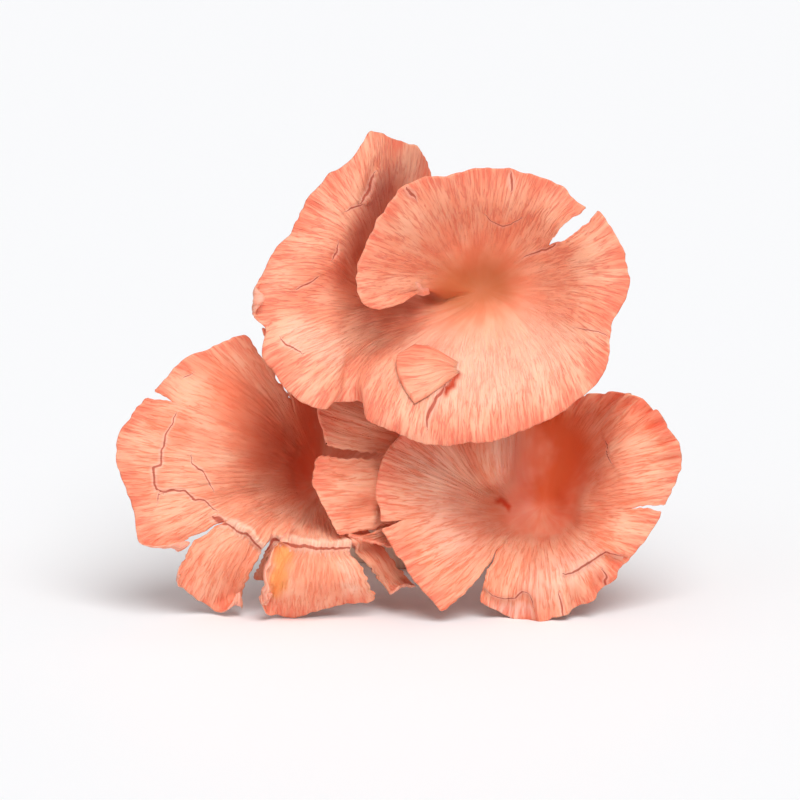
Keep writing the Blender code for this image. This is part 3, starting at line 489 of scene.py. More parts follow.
def station_turns(cap):
    """Each lobe's stations' directions round the throat, spread to fill one full turn."""
    side, other = cross_axes(cap["axis"])
    turns = []
    for lobe in cap["lobes"]:
        for station in lobe["stations"]:
            arm = station[0] - cap["throat"]
            turns.append(math.atan2(arm @ other, arm @ side))
    turns = np.unwrap(turns)
    middle = (turns[0] + turns[-1]) / 2
    way = np.sign(turns[-1] - turns[0])
    steps = np.diff(turns) * way
    steps = np.maximum(steps, NARROWEST_TURN * 2 * math.pi / len(steps))
    turns = np.concatenate([[0], np.cumsum(steps)]) * way * 2 * math.pi / steps.sum()
    turns += middle - (turns[0] + turns[-1]) / 2
    first = 0
    shared = []
    for lobe in cap["lobes"]:
        count = len(lobe["stations"])
        shared.append(turns[first : first + count].copy())
        first += count
    for here, there in zip(shared, shared[1:]):
        meet = (here[-1] + there[0]) / 2
        here[-1] = meet
        there[0] = meet
    return shared


def meridian(cap, turn, station):
    """The top of the cap from the throat to the rim, at even steps of its length."""
    side, other = cross_axes(cap["axis"])
    arm = math.cos(turn) * side + math.sin(turn) * other
    points = np.array([cap["throat"] + THROAT_RADIUS * arm] + station)
    lengths = np.linalg.norm(np.diff(points, axis=0), axis=1)
    knots = np.concatenate([[0], np.cumsum(lengths**0.7)])
    slope = (cap["axis"] * THROAT_PULL + arm * (1 - THROAT_PULL)) * lengths[0] / knots[1]
    dense = through(points, knots, np.linspace(0, knots[-1], 400), first=slope)
    run = distances(dense)
    return read(dense, run / run[-1], STEPS_ALONG)


def cap_sheets(cap, rows):
    """For each lobe, the grid of points on the top of the cap, its turns and its flow."""
    lobes = cap["lobes"]
    data = []
    for lobe, turns in zip(lobes, station_turns(cap)):
        lines = np.array([meridian(cap, t, s) for t, s in zip(turns, lobe["stations"])])
        rim_and_middle = lines[:, [-1, len(STEPS_ALONG) // 2]]
        steps = np.linalg.norm(np.diff(rim_and_middle, axis=0), axis=2).sum(axis=1)
        knots = np.concatenate([[0], np.cumsum(steps)])
        slopes = np.diff(lines, axis=0) / np.diff(knots)[:, None, None]
        first, last = slopes[0].copy(), slopes[-1].copy()
        data.append(dict(lines=lines, knots=knots, turns=turns, first=first, last=last))
    for n, lobe in enumerate(lobes):
        here = data[n]
        there = data[(n + 1) % len(data)]
        split = ROWS[lobe["apex"]]
        t = np.clip((STEPS_ALONG - split) / (1 - split), 0, 1)
        keep = ((1 - t) ** lobe["opening"])[:, None]
        shared = (here["lines"][-1] + there["lines"][0]) / 2
        here["lines"][-1] += (shared - here["lines"][-1]) * keep
        there["lines"][0] += (shared - there["lines"][0]) * keep
        slope = (here["last"] + there["first"]) / 2
        here["last"] += (slope - here["last"]) * keep**2
        there["first"] += (slope - there["first"]) * keep**2
    total = sum(lobe["knots"][-1] for lobe in data)
    sheets = []
    flow = 0.0
    for lobe in data:
        knots = lobe["knots"]
        count = max(8, 4 * round(COLUMNS * knots[-1] / total / 4))
        at = np.linspace(0, knots[-1], count + 1)
        grid = through(lobe["lines"], knots, at, lobe["first"], lobe["last"])
        top = np.array([read(line, STEPS_ALONG, rows) for line in grid])
        turns = np.interp(at, knots, lobe["turns"])
        sheets.append(dict(top=top, turns=turns, flow=flow + at / 2))
        flow += knots[-1] / 2
    return sheets


def normals_of(grid):
    return unit(np.cross(np.gradient(grid, axis=1), np.gradient(grid, axis=0)))


def smooth_normals(sheets, joins, times):
    """Evens out the normals along each row, also across the closed part of each tear."""
    for _ in range(times):
        for sheet in sheets:
            normal = sheet["normal"]
            normal[1:-1] = unit(normal[:-2] + 2 * normal[1:-1] + normal[2:])
        for n, sheet in enumerate(sheets):
            a = sheet["normal"]
            b = sheets[(n + 1) % len(sheets)]["normal"]
            stop = joins[n] + 1
            mean = unit(a[-2, :stop] + a[-1, :stop] + b[0, :stop] + b[1, :stop])
            a[-1, :stop] = mean
            b[0, :stop] = mean


def collar(cap, sheet, rows):
    """Bends the first rows of the underside into an even trumpet round the stem."""
    side, other = cross_axes(cap["axis"])
    under = sheet["under"]
    stop = int(np.searchsorted(rows, COLLAR_ROW))
    arm = np.cos(sheet["turns"])[:, None] * side + np.sin(sheet["turns"])[:, None] * other
    start = cap["throat"] + arm * STEM_TOP_RADIUS - cap["axis"] * STEM_TOP_DROP
    end = under[:, stop].copy()
    reach = np.linalg.norm(end - start, axis=1, keepdims=True)
    leave = unit(cap["axis"] + 0.25 * arm) * reach
    arrive = unit(under[:, stop + 1] - under[:, stop - 1]) * reach
    for j in range(stop):
        under[:, j] = eased(rows[j] / rows[stop], start, leave, end, arrive)
    ridge = sheet["ridge"][:, :stop] * (1 - rows[:stop] / rows[stop])
    under[:, :stop] -= normals_of(under)[:, :stop] * ridge[:, :, None]


class Skin:
    """Gathers the faces of one mesh, with where each corner is in the flow of the fibres."""

    LAYERS = {"rim": NOT_NEAR, "deep": 0.0, "crack": NOT_NEAR, "far": NOT_NEAR}
    # Pools of painted shade, of stains and painted shadow, and of paler flesh and painted light.
    LAYERS |= {"painted_shade": 0.0, "stain_and_shade": 0.0, "bare_and_lit": 0.0, "face": 0.0}

    def __init__(self):
        self.points = []
        self.count = 0
        self.values = {name: [] for name in self.LAYERS}
        self.faces = []
        self.flows = []

    def add_points(self, points, **values):
        points = np.asarray(points, float).reshape(-1, 3)
        index = np.arange(self.count, self.count + len(points))
        self.count += len(points)
        self.points.append(points)
        for name, usual in self.LAYERS.items():
            value = np.asarray(values.get(name, usual), float).ravel()
            self.values[name].append(np.broadcast_to(value, len(points)))
        return index

    def add_grid(self, index, flow, flip=False):
        corners = []
        flows = []
        for i, j in ((0, 0), (0, 1), (1, 1), (1, 0)):
            rows = slice(i, index.shape[0] - 1 + i)
            columns = slice(j, index.shape[1] - 1 + j)
            corners.append(index[rows, columns])
            flows.append(flow[rows, columns])
        quads = np.stack(corners, axis=-1).reshape(-1, 4)
        flows = np.stack(flows, axis=-2).reshape(-1, 4, 3)
        self.faces.append(quads[:, ::-1] if flip else quads)
        self.flows.append(flows[:, ::-1] if flip else flows)

    def object(self, name, material):
        faces = np.concatenate(self.faces)
        flows = np.concatenate(self.flows)
        used, index = np.unique(faces, return_inverse=True)
        faces = index.reshape(faces.shape)
        points = np.concatenate(self.points)[used]
        mesh = bpy.data.meshes.new(name)
        mesh.from_pydata(((points - MIDDLE) * MM).tolist(), [], faces.tolist())
        flow = mesh.attributes.new("flow", "FLOAT_VECTOR", "CORNER")
        flow.data.foreach_set("vector", np.ascontiguousarray(flows, np.float32).ravel())
        for layer, values in self.values.items():
            attribute = mesh.attributes.new(layer, "FLOAT", "POINT")
            attribute.data.foreach_set("value", np.concatenate(values)[used].astype(np.float32))
        mesh.materials.append(material)
        mesh.shade_smooth()
        obj = bpy.data.objects.new(name, mesh)
        bpy.context.scene.collection.objects.link(obj)
        return obj


def to_lines(places, lines):
    """The nearest line to each place: how far it is, its signed distance in widths, and its step."""
    best = np.full(places.shape[:-1], 1e3)
    signed = best.copy()
    steps = np.zeros_like(best)
    for width, step, line in lines:
        line = np.array(line)
        ends = distances(line)
        for k in range(len(line) - 1):
            along = line[k + 1] - line[k]
            t = np.clip(((places - line[k]) @ along) / (along @ along), 0, 1)
            gap = places - (line[k] + t[..., None] * along)
            share = (ends[k] + t * (ends[k + 1] - ends[k])) / ends[-1]
            taper = 0.35 + 0.65 * np.sin(math.pi * np.clip(share, 0.02, 0.98)) ** 0.6
            far = np.linalg.norm(gap, axis=-1)
            side = np.sign(along[0] * gap[..., 1] - along[1] * gap[..., 0])
            nearer = far < best
            best = np.where(nearer, far, best)
            signed = np.where(nearer, far * side / (width * taper), signed)
            steps = np.where(nearer, step, steps)
    return best, signed, steps


def widths_off(places, line, width):
    """How many widths each place is from a line."""
    return to_lines(places, [(1.0, 0, line)])[0] / width


def pools(places, n, marks):
    """How strongly a lobe's places lie in the marks' pools."""
    pool = np.zeros(places.shape[:-1])
    for lobes, width, strength, line in marks:
        if n in lobes:
            pool = np.maximum(pool, strength * ramp(-widths_off(places, line, width), -1.3, -0.2))
    return pool


def roll(grid, normal, reach, radius):
    """Rolls up the last stretch of each line of the grid, towards its normal."""
    steps = np.linalg.norm(np.diff(grid, axis=1), axis=2)
    left = np.cumsum(steps[:, ::-1], axis=1)[:, ::-1]
    left = np.concatenate([left, np.zeros((len(grid), 1))], axis=1)
    for line, lean, away, length in zip(grid, normal, left, reach):
        if length < SHORTEST_CURL:
            continue
        start = read(line, -away, -length)
        ahead = unit(start - read(line, -away, -length - 0.8))
        up = unit(read(lean, -away, -length))
        up = unit(up - ahead * (up @ ahead))
        inside = away < length
        bend = ((length - away[inside]) / radius)[:, None]
        line[inside] = start + radius * (np.sin(bend) * ahead + (1 - np.cos(bend)) * up)
        lean[inside] = np.cos(bend) * up - np.sin(bend) * ahead


def roll_edges(sheet, n, curls):
    """Rolls up the ends of a lobe: its rim, or its first or last edge along a tear."""
    for lobe, end, middle, spread, length, radius in curls:
        if lobe != n:
            continue
        grid, lean = sheet["top"], sheet["normal"]
        if end != "rim":
            grid, lean = grid.transpose(1, 0, 2), lean.transpose(1, 0, 2)
        if end == "first":
            grid, lean = grid[:, ::-1], lean[:, ::-1]
        share = np.linspace(0, 1, len(grid))
        roll(grid, lean, length * bell((share - middle) / spread), radius)


def folds(look, n, sheet, place):
    """How far folds, ruffles and creases lift both sides of a lobe together."""
    seed = look["seed"]
    u = sheet["flow"][:, None]
    rim, deep = sheet["rim"], sheet["deep"]
    lift = look["fold"] * noise(u / 6.5, deep / 45, seed) * ramp(deep, 8, 40)
    lift += 0.25 * noise(place[..., 0] / 7, place[..., 1] / 7, seed + 1) * ramp(deep, 2, 10)
    phase = 2 * math.pi * u / look["wave"] + 2.5 * noise(u / 11, 0, seed + 2)
    swell = 0.5 + 0.5 * noise(u / 14, 3, seed + 3)
    lift += look["ruffle"] * np.sin(phase) * swell * ramp(-rim, -look["reach"], 0)
    lift += 0.1 * np.sin(phase * 2.7 + 1) * ramp(deep, 18, 38)
    for lobes, wide, high, line in look["ruffles"]:
        if n in lobes:
            there = high * bell(widths_off(place, line, wide)) * ramp(-rim, -12, -1)
            lift += there * np.sin(phase * 0.9 + 2) * (0.4 + swell)
    for lobes, wide, drop, line in look["creases"]:
        if n in lobes:
            lift -= drop * bell(widths_off(place, line, wide))
    return lift


def fray_edges(look, n, sheet, joins):
    """Roughens the rim. Both edges of a tear wander alike, so that they would fit each other."""
    top, deep = sheet["top"], sheet["deep"]
    width = len(top) - 1
    for edge, inner, tear in ((0, 1, n - 1), (width, width - 1, n)):
        way = unit(top[1] - top[0]) if edge == 0 else unit(top[edge] - top[inner])
        torn = look["torn"] * ramp(deep[edge] - deep[edge, joins[tear]], 0.5, 6)
        number = tear % len(joins)
        shift = 0.6 * noise(deep[edge] / 2.3, number, 11) + 0.4 * noise(deep[edge] / 0.9, number, 12)
        away = np.linalg.norm(top - top[edge][None], axis=2)
        top = top + (way * (shift * torn)[:, None])[None] * np.exp(-away / 1.5)[:, :, None]
    u = sheet["flow"][:, None]
    ragged = 0.35 * noise(u / 2.4, 0, look["seed"] + 5) + 0.2 * noise(u / 0.95, 5, look["seed"] + 6)
    share = np.linspace(0, 1, width + 1)[:, None]
    for lobe, middle, spread, reach in look["tabs"]:
        if lobe == n:
            ragged += reach * bell((share - middle) / spread)
    out = unit(top[:, -1] - top[:, -3])
    sheet["top"] = top + out[:, None, :] * (ragged * ramp(-sheet["rim"], -FRAY, 0))[:, :, None]


def hang_gills(cap, n, sheet, rows):
    """Makes the underside and its gills, which are finer than in the solid."""
    top = sheet["top"]
    column = np.arange(len(top))
    pitch = np.linalg.norm(np.gradient(top, axis=0), axis=2) * len(GILL_SHAPE)
    deepest = GILL_DEPTH * np.clip((1 - rows) / 0.3, 0, 1) ** 0.7
    plain = n in cap["look"]["plain_under"]
    shape = GILL_SHAPE[column % len(GILL_SHAPE)][:, None] * (0.1 if plain else 1.0)
    ridge = shape * np.minimum(deepest[None, :], GILL_SLOPE * pitch)
    from_edge = np.minimum(column, column[::-1])[:, None]
    sheet["ridge"] = ridge * np.clip(from_edge / len(GILL_SHAPE), 0, 1)
    flesh = FLESH_AT_RIM + (FLESH_AT_STEM - FLESH_AT_RIM) * (1 - rows) ** 3
    sheet["under"] = top - sheet["normal"] * (flesh[None, :] + sheet["ridge"])[:, :, None]
    collar(cap, sheet, rows)


def mark_top(look, n, sheet, place):
    """Marks the upper side with cracks and with pools of colour, which are painted shade, stains and
    painted shadow, and paler flesh and painted light. One lip of a crack stands higher.
    """
    x, y = place[..., 0], place[..., 1]
    wobble = 0.35 * np.stack([noise(x / 2.2, y / 2.2, seed) for seed in (21, 22)], -1)
    wobble += 0.15 * np.stack([noise(x / 0.9, y / 0.9, seed) for seed in (23, 24)], -1)
    for layer, kind in (("painted_shade", "shade_pools"), ("stain_and_shade", "stains_and_shade"), ("bare_and_lit", "bare_and_lit")):
        sheet[layer] = pools(place + 2 * wobble, n, look[kind])
    lines = [mark[1:] for mark in look["cracks"] if n in mark[0]]
    far, signed, step = to_lines(place + wobble, lines)
    push = step * np.clip(np.sign(signed) * far / 0.6, -1, 1) * bell(far / CRACK_LIP)
    push -= CRACK_DEPTH * bell(far / 0.5)
    push *= ramp(sheet["rim"], 0, 1.2)
    sheet["top"] = sheet["top"] + sheet["normal"] * push[:, :, None]
    sheet["far"], sheet["crack"] = far, signed


def even_sheets(cap, rows, joins):
    """The plain sheets of a cap, with their normals and their distances from throat and rim."""
    sheets = cap_sheets(cap, rows)
    for lobe, sheet in zip(cap["lobes"], sheets):
        top = sheet["top"]
        droop = lobe.get("lip", LIP) * np.clip((rows - LIP_FROM) / (1 - LIP_FROM), 0, 1) ** 2
        sheet["top"] = top - normals_of(top) * droop[None, :, None]
    for n, columns, low, high in cap["look"]["fills"]:
        # Bridges the inner end of the valley beside a lobe's first edge.
        top, before = sheets[n]["top"], sheets[n - 1]["top"]
        share = ramp(rows, low, low + 0.08) * ramp(-rows, -high, 0.1 - high)
        leave = (before[-1] - before[-5]) * columns / 8
        arrive = (top[columns + 4] - top[columns]) * columns / 8
        at = np.linspace(0, 1, columns + 1)[:, None, None]
        bridge = eased(at, top[0], leave, top[columns], arrive)
        top[: columns + 1] += (bridge - top[: columns + 1]) * share[None, :, None]
    for sheet in sheets:
        top = sheet["top"]
        sheet["normal"] = normals_of(top)
        steps = np.linalg.norm(np.diff(top, axis=1), axis=2)
        sheet["deep"] = np.concatenate([np.zeros((len(top), 1)), np.cumsum(steps, axis=1)], axis=1)
        sheet["rim"] = sheet["deep"][:, -1:] - sheet["deep"]
    smooth_normals(sheets, joins, SMOOTHINGS)
    return sheets


def shape_sheets(cap, sheets, rows, joins):
    """Adds folds, torn edges, curls, gills and cracks, and joins the sheets up to their tears."""
    look = cap["look"]
    for n, sheet in enumerate(sheets):
        place = as_seen(sheet["top"])
        lift = folds(look, n, sheet, place)
        fray_edges(look, n, sheet, joins)
        sheet["top"] = sheet["top"] + sheet["normal"] * lift[:, :, None]
        roll_edges(sheet, n, look["curls"])
        hang_gills(cap, n, sheet, rows)
        mark_top(look, n, sheet, place)
        for side in ("top", "under"):
            sheet[side][..., 2] = np.maximum(sheet[side][..., 2], 0.0)
    for sheet, after, join in zip(sheets, sheets[1:] + sheets[:1], joins):
        for side in ("top", "under"):
            mean = (sheet[side][-1, : join + 1] + after[side][0, : join + 1]) / 2
            sheet[side][-1, : join + 1] = mean
            after[side][0, : join + 1] = mean


def edge_wall(skin, sheet, index, place, inner, flow, flip):
    """Closes an edge between the two sides, bulging a little along its middle line."""
    top, under = sheet["top"][place], sheet["under"][place]
    middle = (top + under) / 2 + unit(top - sheet["top"][inner]) * FLESH_AT_RIM * EDGE_BULGE
    if isinstance(place[0], int):
        # An edge along a tear starts at the tear's end, where there is no wall.
        middle[0] = (top[0] + under[0]) / 2
    middle[..., 2] = np.maximum(middle[..., 2], 0.0)
    line = skin.add_points(middle, rim=sheet["rim"][place], deep=sheet["deep"][place], face=0.5)
    strip = np.stack([index["top"][place], line, index["under"][place]])
    skin.add_grid(strip, np.stack([flow[place]] * 3), flip=flip)


def mushroom(cap):
    """The skin of one cap and its stem."""
    rows = 1 - (1 - np.linspace(0, 1, LINES)) ** ROWS_CLOSER_AT_RIM
    joins = [int(np.argmin(abs(rows - ROWS[lobe["apex"]]))) for lobe in cap["lobes"]]
    sheets = even_sheets(cap, rows, joins)
    shape_sheets(cap, sheets, rows, joins)
    skin = Skin()
    indices = []
    for n, sheet in enumerate(sheets):
        near = dict(rim=sheet["rim"], deep=sheet["deep"])
        marks = {name: sheet[name] for name in ("crack", "far", "painted_shade", "stain_and_shade", "bare_and_lit")}
        face = 0.15 if n in cap["look"]["plain_under"] else 1.0
        top = skin.add_points(sheet["top"], **near, **marks)
        under = skin.add_points(sheet["under"], face=face, **near)
        shape = sheet["rim"].shape
        indices.append(dict(top=top.reshape(shape), under=under.reshape(shape)))
    for index, after, join in zip(indices, indices[1:] + indices[:1], joins):
        for side in ("top", "under"):
            index[side][-1, : join + 1] = after[side][0, : join + 1]
    for n, (sheet, index) in enumerate(zip(sheets, indices)):
        flow = np.stack(np.broadcast_arrays(sheet["flow"][:, None], sheet["deep"], LOBE_FLOW * n), axis=-1)
        skin.add_grid(index["top"], flow)
        skin.add_grid(index["under"], flow, flip=True)
        every = slice(None)
        first = slice(joins[n - 1], None)
        last = slice(joins[n], None)
        width = len(sheet["flow"]) - 1
        edge_wall(skin, sheet, index, (every, LINES - 1), (every, LINES - 2), flow, True)
        edge_wall(skin, sheet, index, (0, first), (1, first), flow, True)
        edge_wall(skin, sheet, index, (width, last), (width - 1, last), flow, False)
    throat_and_stem(skin, cap, sheets, indices)
    for lobe, edges, lift in cap["look"]["tongues"]:
        tongue(skin, sheets[lobe], edges, lift)
    return skin


def throat_and_stem(skin, cap, sheets, indices):
    """Closes the top at the throat and runs the stem down from the underside."""
    seed = cap["look"]["seed"]
    ring_top = np.concatenate([index["top"][:-1, 0] for index in indices])
    ring_under = np.concatenate([index["under"][:-1, 0] for index in indices])
    turns = np.concatenate([sheet["turns"][:-1] for sheet in sheets])
    flows = np.zeros((len(turns), 3))
    flows[:, 0] = np.concatenate([sheet["flow"][:-1] for sheet in sheets])
    size = len(ring_top)
    turn_on = np.append(np.arange(size), 0)
    centre = np.concatenate([sheet["top"][:-1, 0] for sheet in sheets]).mean(axis=0)
    marks = {name: sheets[0][name][:, 0].mean() for name in ("painted_shade", "bare_and_lit")}
    middle = np.full(size // 2, skin.add_points(centre, **marks)[0])
    pairs = [turn_on[0:-1:2], turn_on[1::2], turn_on[2::2]]
    skin.faces.append(np.stack([middle] + [ring_top[pair] for pair in pairs], axis=1))
    skin.flows.append(np.stack([flows[pairs[1]]] + [flows[pair] for pair in pairs], axis=1))
    lines = [ring_under]
    for step, (centre, side, other, radius) in enumerate(stem_rings(cap, STEM_LINES)):
        t = (step + 1) / STEM_LINES
        if (cap["throat"] - centre) @ cap["axis"] < STEM_TOP_DROP + 0.6:
            continue
        ribs = 0.25 * (1 - ramp(t, 0.1, 0.6)) * GILL_SHAPE[np.arange(size) % len(GILL_SHAPE)]
        lumps = 0.35 * noise(turns * 2 + 5, t * 6, seed + 8) + 0.12 * noise(turns * 9, t * 3, seed + 9)
        reach = (radius + ribs + lumps * ramp(t, 0, 0.2))[:, None]
        arm = np.cos(turns)[:, None] * side + np.sin(turns)[:, None] * other
        lines.append(skin.add_points(centre + reach * arm, face=1.0 + ramp(t, 0.0, 0.35)))
    strip = np.stack(lines)[:, turn_on]
    along = np.linspace(0, 50, len(lines))[:, None]
    flow = np.array(np.stack(np.broadcast_arrays((turns * 7)[turn_on], along, STEM_FLOW), -1))
    flow[:, -1, 0] = flow[:, -2, 0]
    skin.add_grid(strip, flow, flip=True)


def bezier(points, t):
    a, b, c, d = points
    s = 1 - t
    return a * s**3 + 3 * b * s * s * t + 3 * c * s * t * t + d * t**3


def stem_rings(cap, count):
    """Centres, cross axes and radii down the stem."""
    path = [cap["throat"]] + [np.array(p, float) for p in cap["stem"]]
    radii = cap["stem_radii"]
    side, other = cross_axes(cap["axis"])
    rings = []
    for t in np.linspace(0, 1, count + 1)[1:]:
        ahead = unit(bezier(path, min(t + 0.01, 1)) - bezier(path, t - 0.01))
        side = unit(side - ahead * (side @ ahead))
        other = np.cross(-ahead, side)
        radius = np.interp(t, np.linspace(0, 1, len(radii)), radii)
        rings.append((bezier(path, t), side, other, radius))
    return rings


def tongue(skin, sheet, edges, lift):
    """A torn tongue of skin on a lobe, fanning out from its root between three lines."""
    along = np.linspace(0, 1, TONGUE_STEPS)
    across = along[:, None]
    lines = []
    for edge in map(np.array, edges):
        run = distances(edge)
        lines.append(read(edge, run / run[-1], along))
    t = across[:, :, None]
    place = lines[0] * (1 - t) * (1 - 2 * t) + lines[1] * 4 * t * (1 - t) + lines[2] * t * (2 * t - 1)
    flat = as_seen(sheet["top"]).reshape(-1, 2)
    points = sheet["top"].reshape(-1, 3)
    normals = sheet["normal"].reshape(-1, 3)
    ground = np.empty(place.shape[:2] + (3,))
    lean = np.empty_like(ground)
    for i, j in np.ndindex(place.shape[:2]):
        share = bell(np.linalg.norm(flat - place[i, j], axis=1) / 0.8)
        share /= share.sum()
        ground[i, j] = share @ points
        lean[i, j] = share @ normals
    lean = unit(lean)
    height = (lift * ramp(along, 0, 0.5) - 0.6 * (1 - along)) * ramp(across, -0.3, 0.35)
    height = height + 0.1 * noise(across * 3, along * 4, 77)
    flow = np.stack(np.broadcast_arrays(across * 11, along * TONGUE_LENGTH, TONGUE_FLOW), -1)
    near = dict(rim=(1 - along[None, :]) * TONGUE_LENGTH + 0 * across, deep=20.0)
    upper = skin.add_points(ground + lean * height[:, :, None], **near)
    lower = skin.add_points(ground + lean * (height * 0.5 - 0.5)[:, :, None], face=0.3, **near)
    upper, lower = upper.reshape(place.shape[:2]), lower.reshape(place.shape[:2])
    skin.add_grid(upper, flow)
    every = slice(None)
    for side, flip in (((0, every), True), ((-1, every), False), ((every, -1), True)):
        skin.add_grid(np.stack([upper[side], lower[side]]), np.stack([flow[side]] * 2), flip=flip)


def foot():
    """The foot, with a flared root round each stem that runs into it."""
    turn = np.linspace(0, 2 * math.pi, FOOT_GRID[0])
    turn, fall = np.meshgrid(turn, np.linspace(0.001, math.pi, FOOT_GRID[1]))
    arm = np.stack([np.sin(fall) * np.cos(turn), np.sin(fall) * np.sin(turn), np.cos(fall)], -1)
    lump = 1 + (0.05 * np.sin(3 * turn + 1) + 0.03 * np.sin(5 * turn + 2 * fall)) * np.sin(fall)
    lump += 0.012 * noise(turn * 64 / math.tau, fall * 6, 91) * np.sin(fall)
    balls = []
    # All three roots are as wide as the right cap's stem.
    radii = [ring[3] for ring in stem_rings(placed(RIGHT), STEM_LINES)][FIRST_ROOT_RING:]
    for cap in (TOP, LEFT, RIGHT):
        centres = [ring[0] for ring in stem_rings(placed(cap), STEM_LINES)][FIRST_ROOT_RING:]
        for centre, radius in zip(centres, radii):
            flare = ROOT_FLARE - ROOT_TAPER * np.linalg.norm(centre - centres[-1])
            balls.append((centre, radius + flare))

    def outside(reach):
        """How far outside the foot a point is, along each arm."""
        points = FOOT_CENTRE + arm * reach[..., None]
        scaled = (points - FOOT_CENTRE) / (FOOT_RADII * lump[..., None])
        best = (np.linalg.norm(scaled, axis=-1) - 1) * FOOT_RADII.min()
        for centre, radius in balls:
            gap = np.linalg.norm(points - centre, axis=-1) - radius
            mix = np.clip(0.5 + 0.5 * (best - gap) / ROOT_BLEND, 0, 1)
            best = best * (1 - mix) + gap * mix - ROOT_BLEND * mix * (1 - mix)
        return best

    near = np.zeros(turn.shape)
    beyond = np.full(turn.shape, FOOT_REACH)
    for _ in range(FOOT_HALVINGS):
        middle = (near + beyond) / 2
        inside = outside(middle) < 0
        near = np.where(inside, middle, near)
        beyond = np.where(inside, beyond, middle)
    points = FOOT_CENTRE + arm * near[..., None]
    points[..., 2] = np.maximum(points[..., 2], 0)
    skin = Skin()
    index = skin.add_points(points, face=2.0).reshape(turn.shape)
    index[:, -1] = index[:, 0]
    skin.add_grid(index, np.stack([turn * 14, fall * 14, np.full(turn.shape, FOOT_FLOW)], -1))
    return skin


class Nodes:
    """Adds nodes and links to one material."""

    def __init__(self, name):
        self.material = bpy.data.materials.new(name)
        self.material.use_nodes = True
        self.tree = self.material.node_tree
        self.shader = self.tree.nodes["Principled BSDF"]

    def new(self, kind, **settings):
        node = self.tree.nodes.new("ShaderNode" + kind)
        for key, value in settings.items():
            setattr(node, key, value)
        return node

    def link(self, source, target):
        if isinstance(source, bpy.types.NodeSocket):
            self.tree.links.new(source, target)
        else:
            target.default_value = source

    def attribute(self, name):
        node = self.new("Attribute", attribute_name=name)
        return node.outputs["Vector" if name == "flow" else "Fac"]

    def maths(self, operation, a, b=0.0):
        node = self.new("Math", operation=operation)
        self.link(a, node.inputs[0])
        self.link(b, node.inputs[1])
        return node.outputs[0]

    def times(self, *factors):
        product = factors[0]
        for factor in factors[1:]:
            product = self.maths("MULTIPLY", product, factor)
        return product

    def range(self, value, low, high, to_low=0.0, to_high=1.0):
        node = self.new("MapRange", interpolation_type="SMOOTHSTEP")
        for socket, source in zip(node.inputs, (value, low, high, to_low, to_high)):
            self.link(source, socket)
        return node.outputs[0]

    def mix(self, factor, a, b):
        node = self.new("Mix", data_type="RGBA")
        self.link(factor, node.inputs["Factor"])
        for source, socket in ((a, node.inputs[6]), (b, node.inputs[7])):
            self.link(source if isinstance(source, bpy.types.NodeSocket) else (*source, 1), socket)
        return node.outputs[2]

    def noise(self, vector, x, y, z=1.0, detail=2.0, roughness=0.5):
        """Noise on a vector stretched by x, y and z."""
        stretch = self.new("VectorMath", operation="MULTIPLY")
        self.link(vector, stretch.inputs[0])
        stretch.inputs[1].default_value = (x, y, z)
        node = self.new("TexNoise")
        self.link(stretch.outputs[0], node.inputs["Vector"])
        node.inputs["Scale"].default_value = 1.0
        node.inputs["Detail"].default_value = detail
        node.inputs["Roughness"].default_value = roughness
        return node.outputs["Fac"]


PEACH = (0.92, 0.34, 0.205)
PALE = (0.95, 0.45, 0.29)
CORAL = (0.88, 0.225, 0.12)
PINK_LINE = (0.76, 0.17, 0.11)
ORANGE_LINE = (0.86, 0.20, 0.09)
MARGIN = (0.87, 0.19, 0.11)
# The next three are painted shade for the throats, the valley, the funnels and the hollow.
TAN_SHADE = (0.60, 0.20, 0.08)
RED_SHADE = (0.97, 0.20, 0.09)
ORANGE_SHADE = (0.77, 0.17, 0.055)
YELLOW_STAIN = (0.93, 0.34, 0.10)
RED_STAIN = (0.72, 0.09, 0.03)
# Painted shadow for the top cap's valley and for the hole by its tongue.
VALLEY_SHADE = (0.50, 0.055, 0.02)
CREAM = (0.98, 0.60, 0.44)
# Paler flesh where the skin is torn, also used as painted light on the right cap.
BARE_AND_LIT = (0.96, 0.54, 0.42)
TORN = (0.95, 0.52, 0.40)
# Painted shade in the gap of a crack.
CRACK_SHADE = (0.45, 0.07, 0.035)
GILL = (0.93, 0.42, 0.30)
STEM = (0.95, 0.66, 0.52)


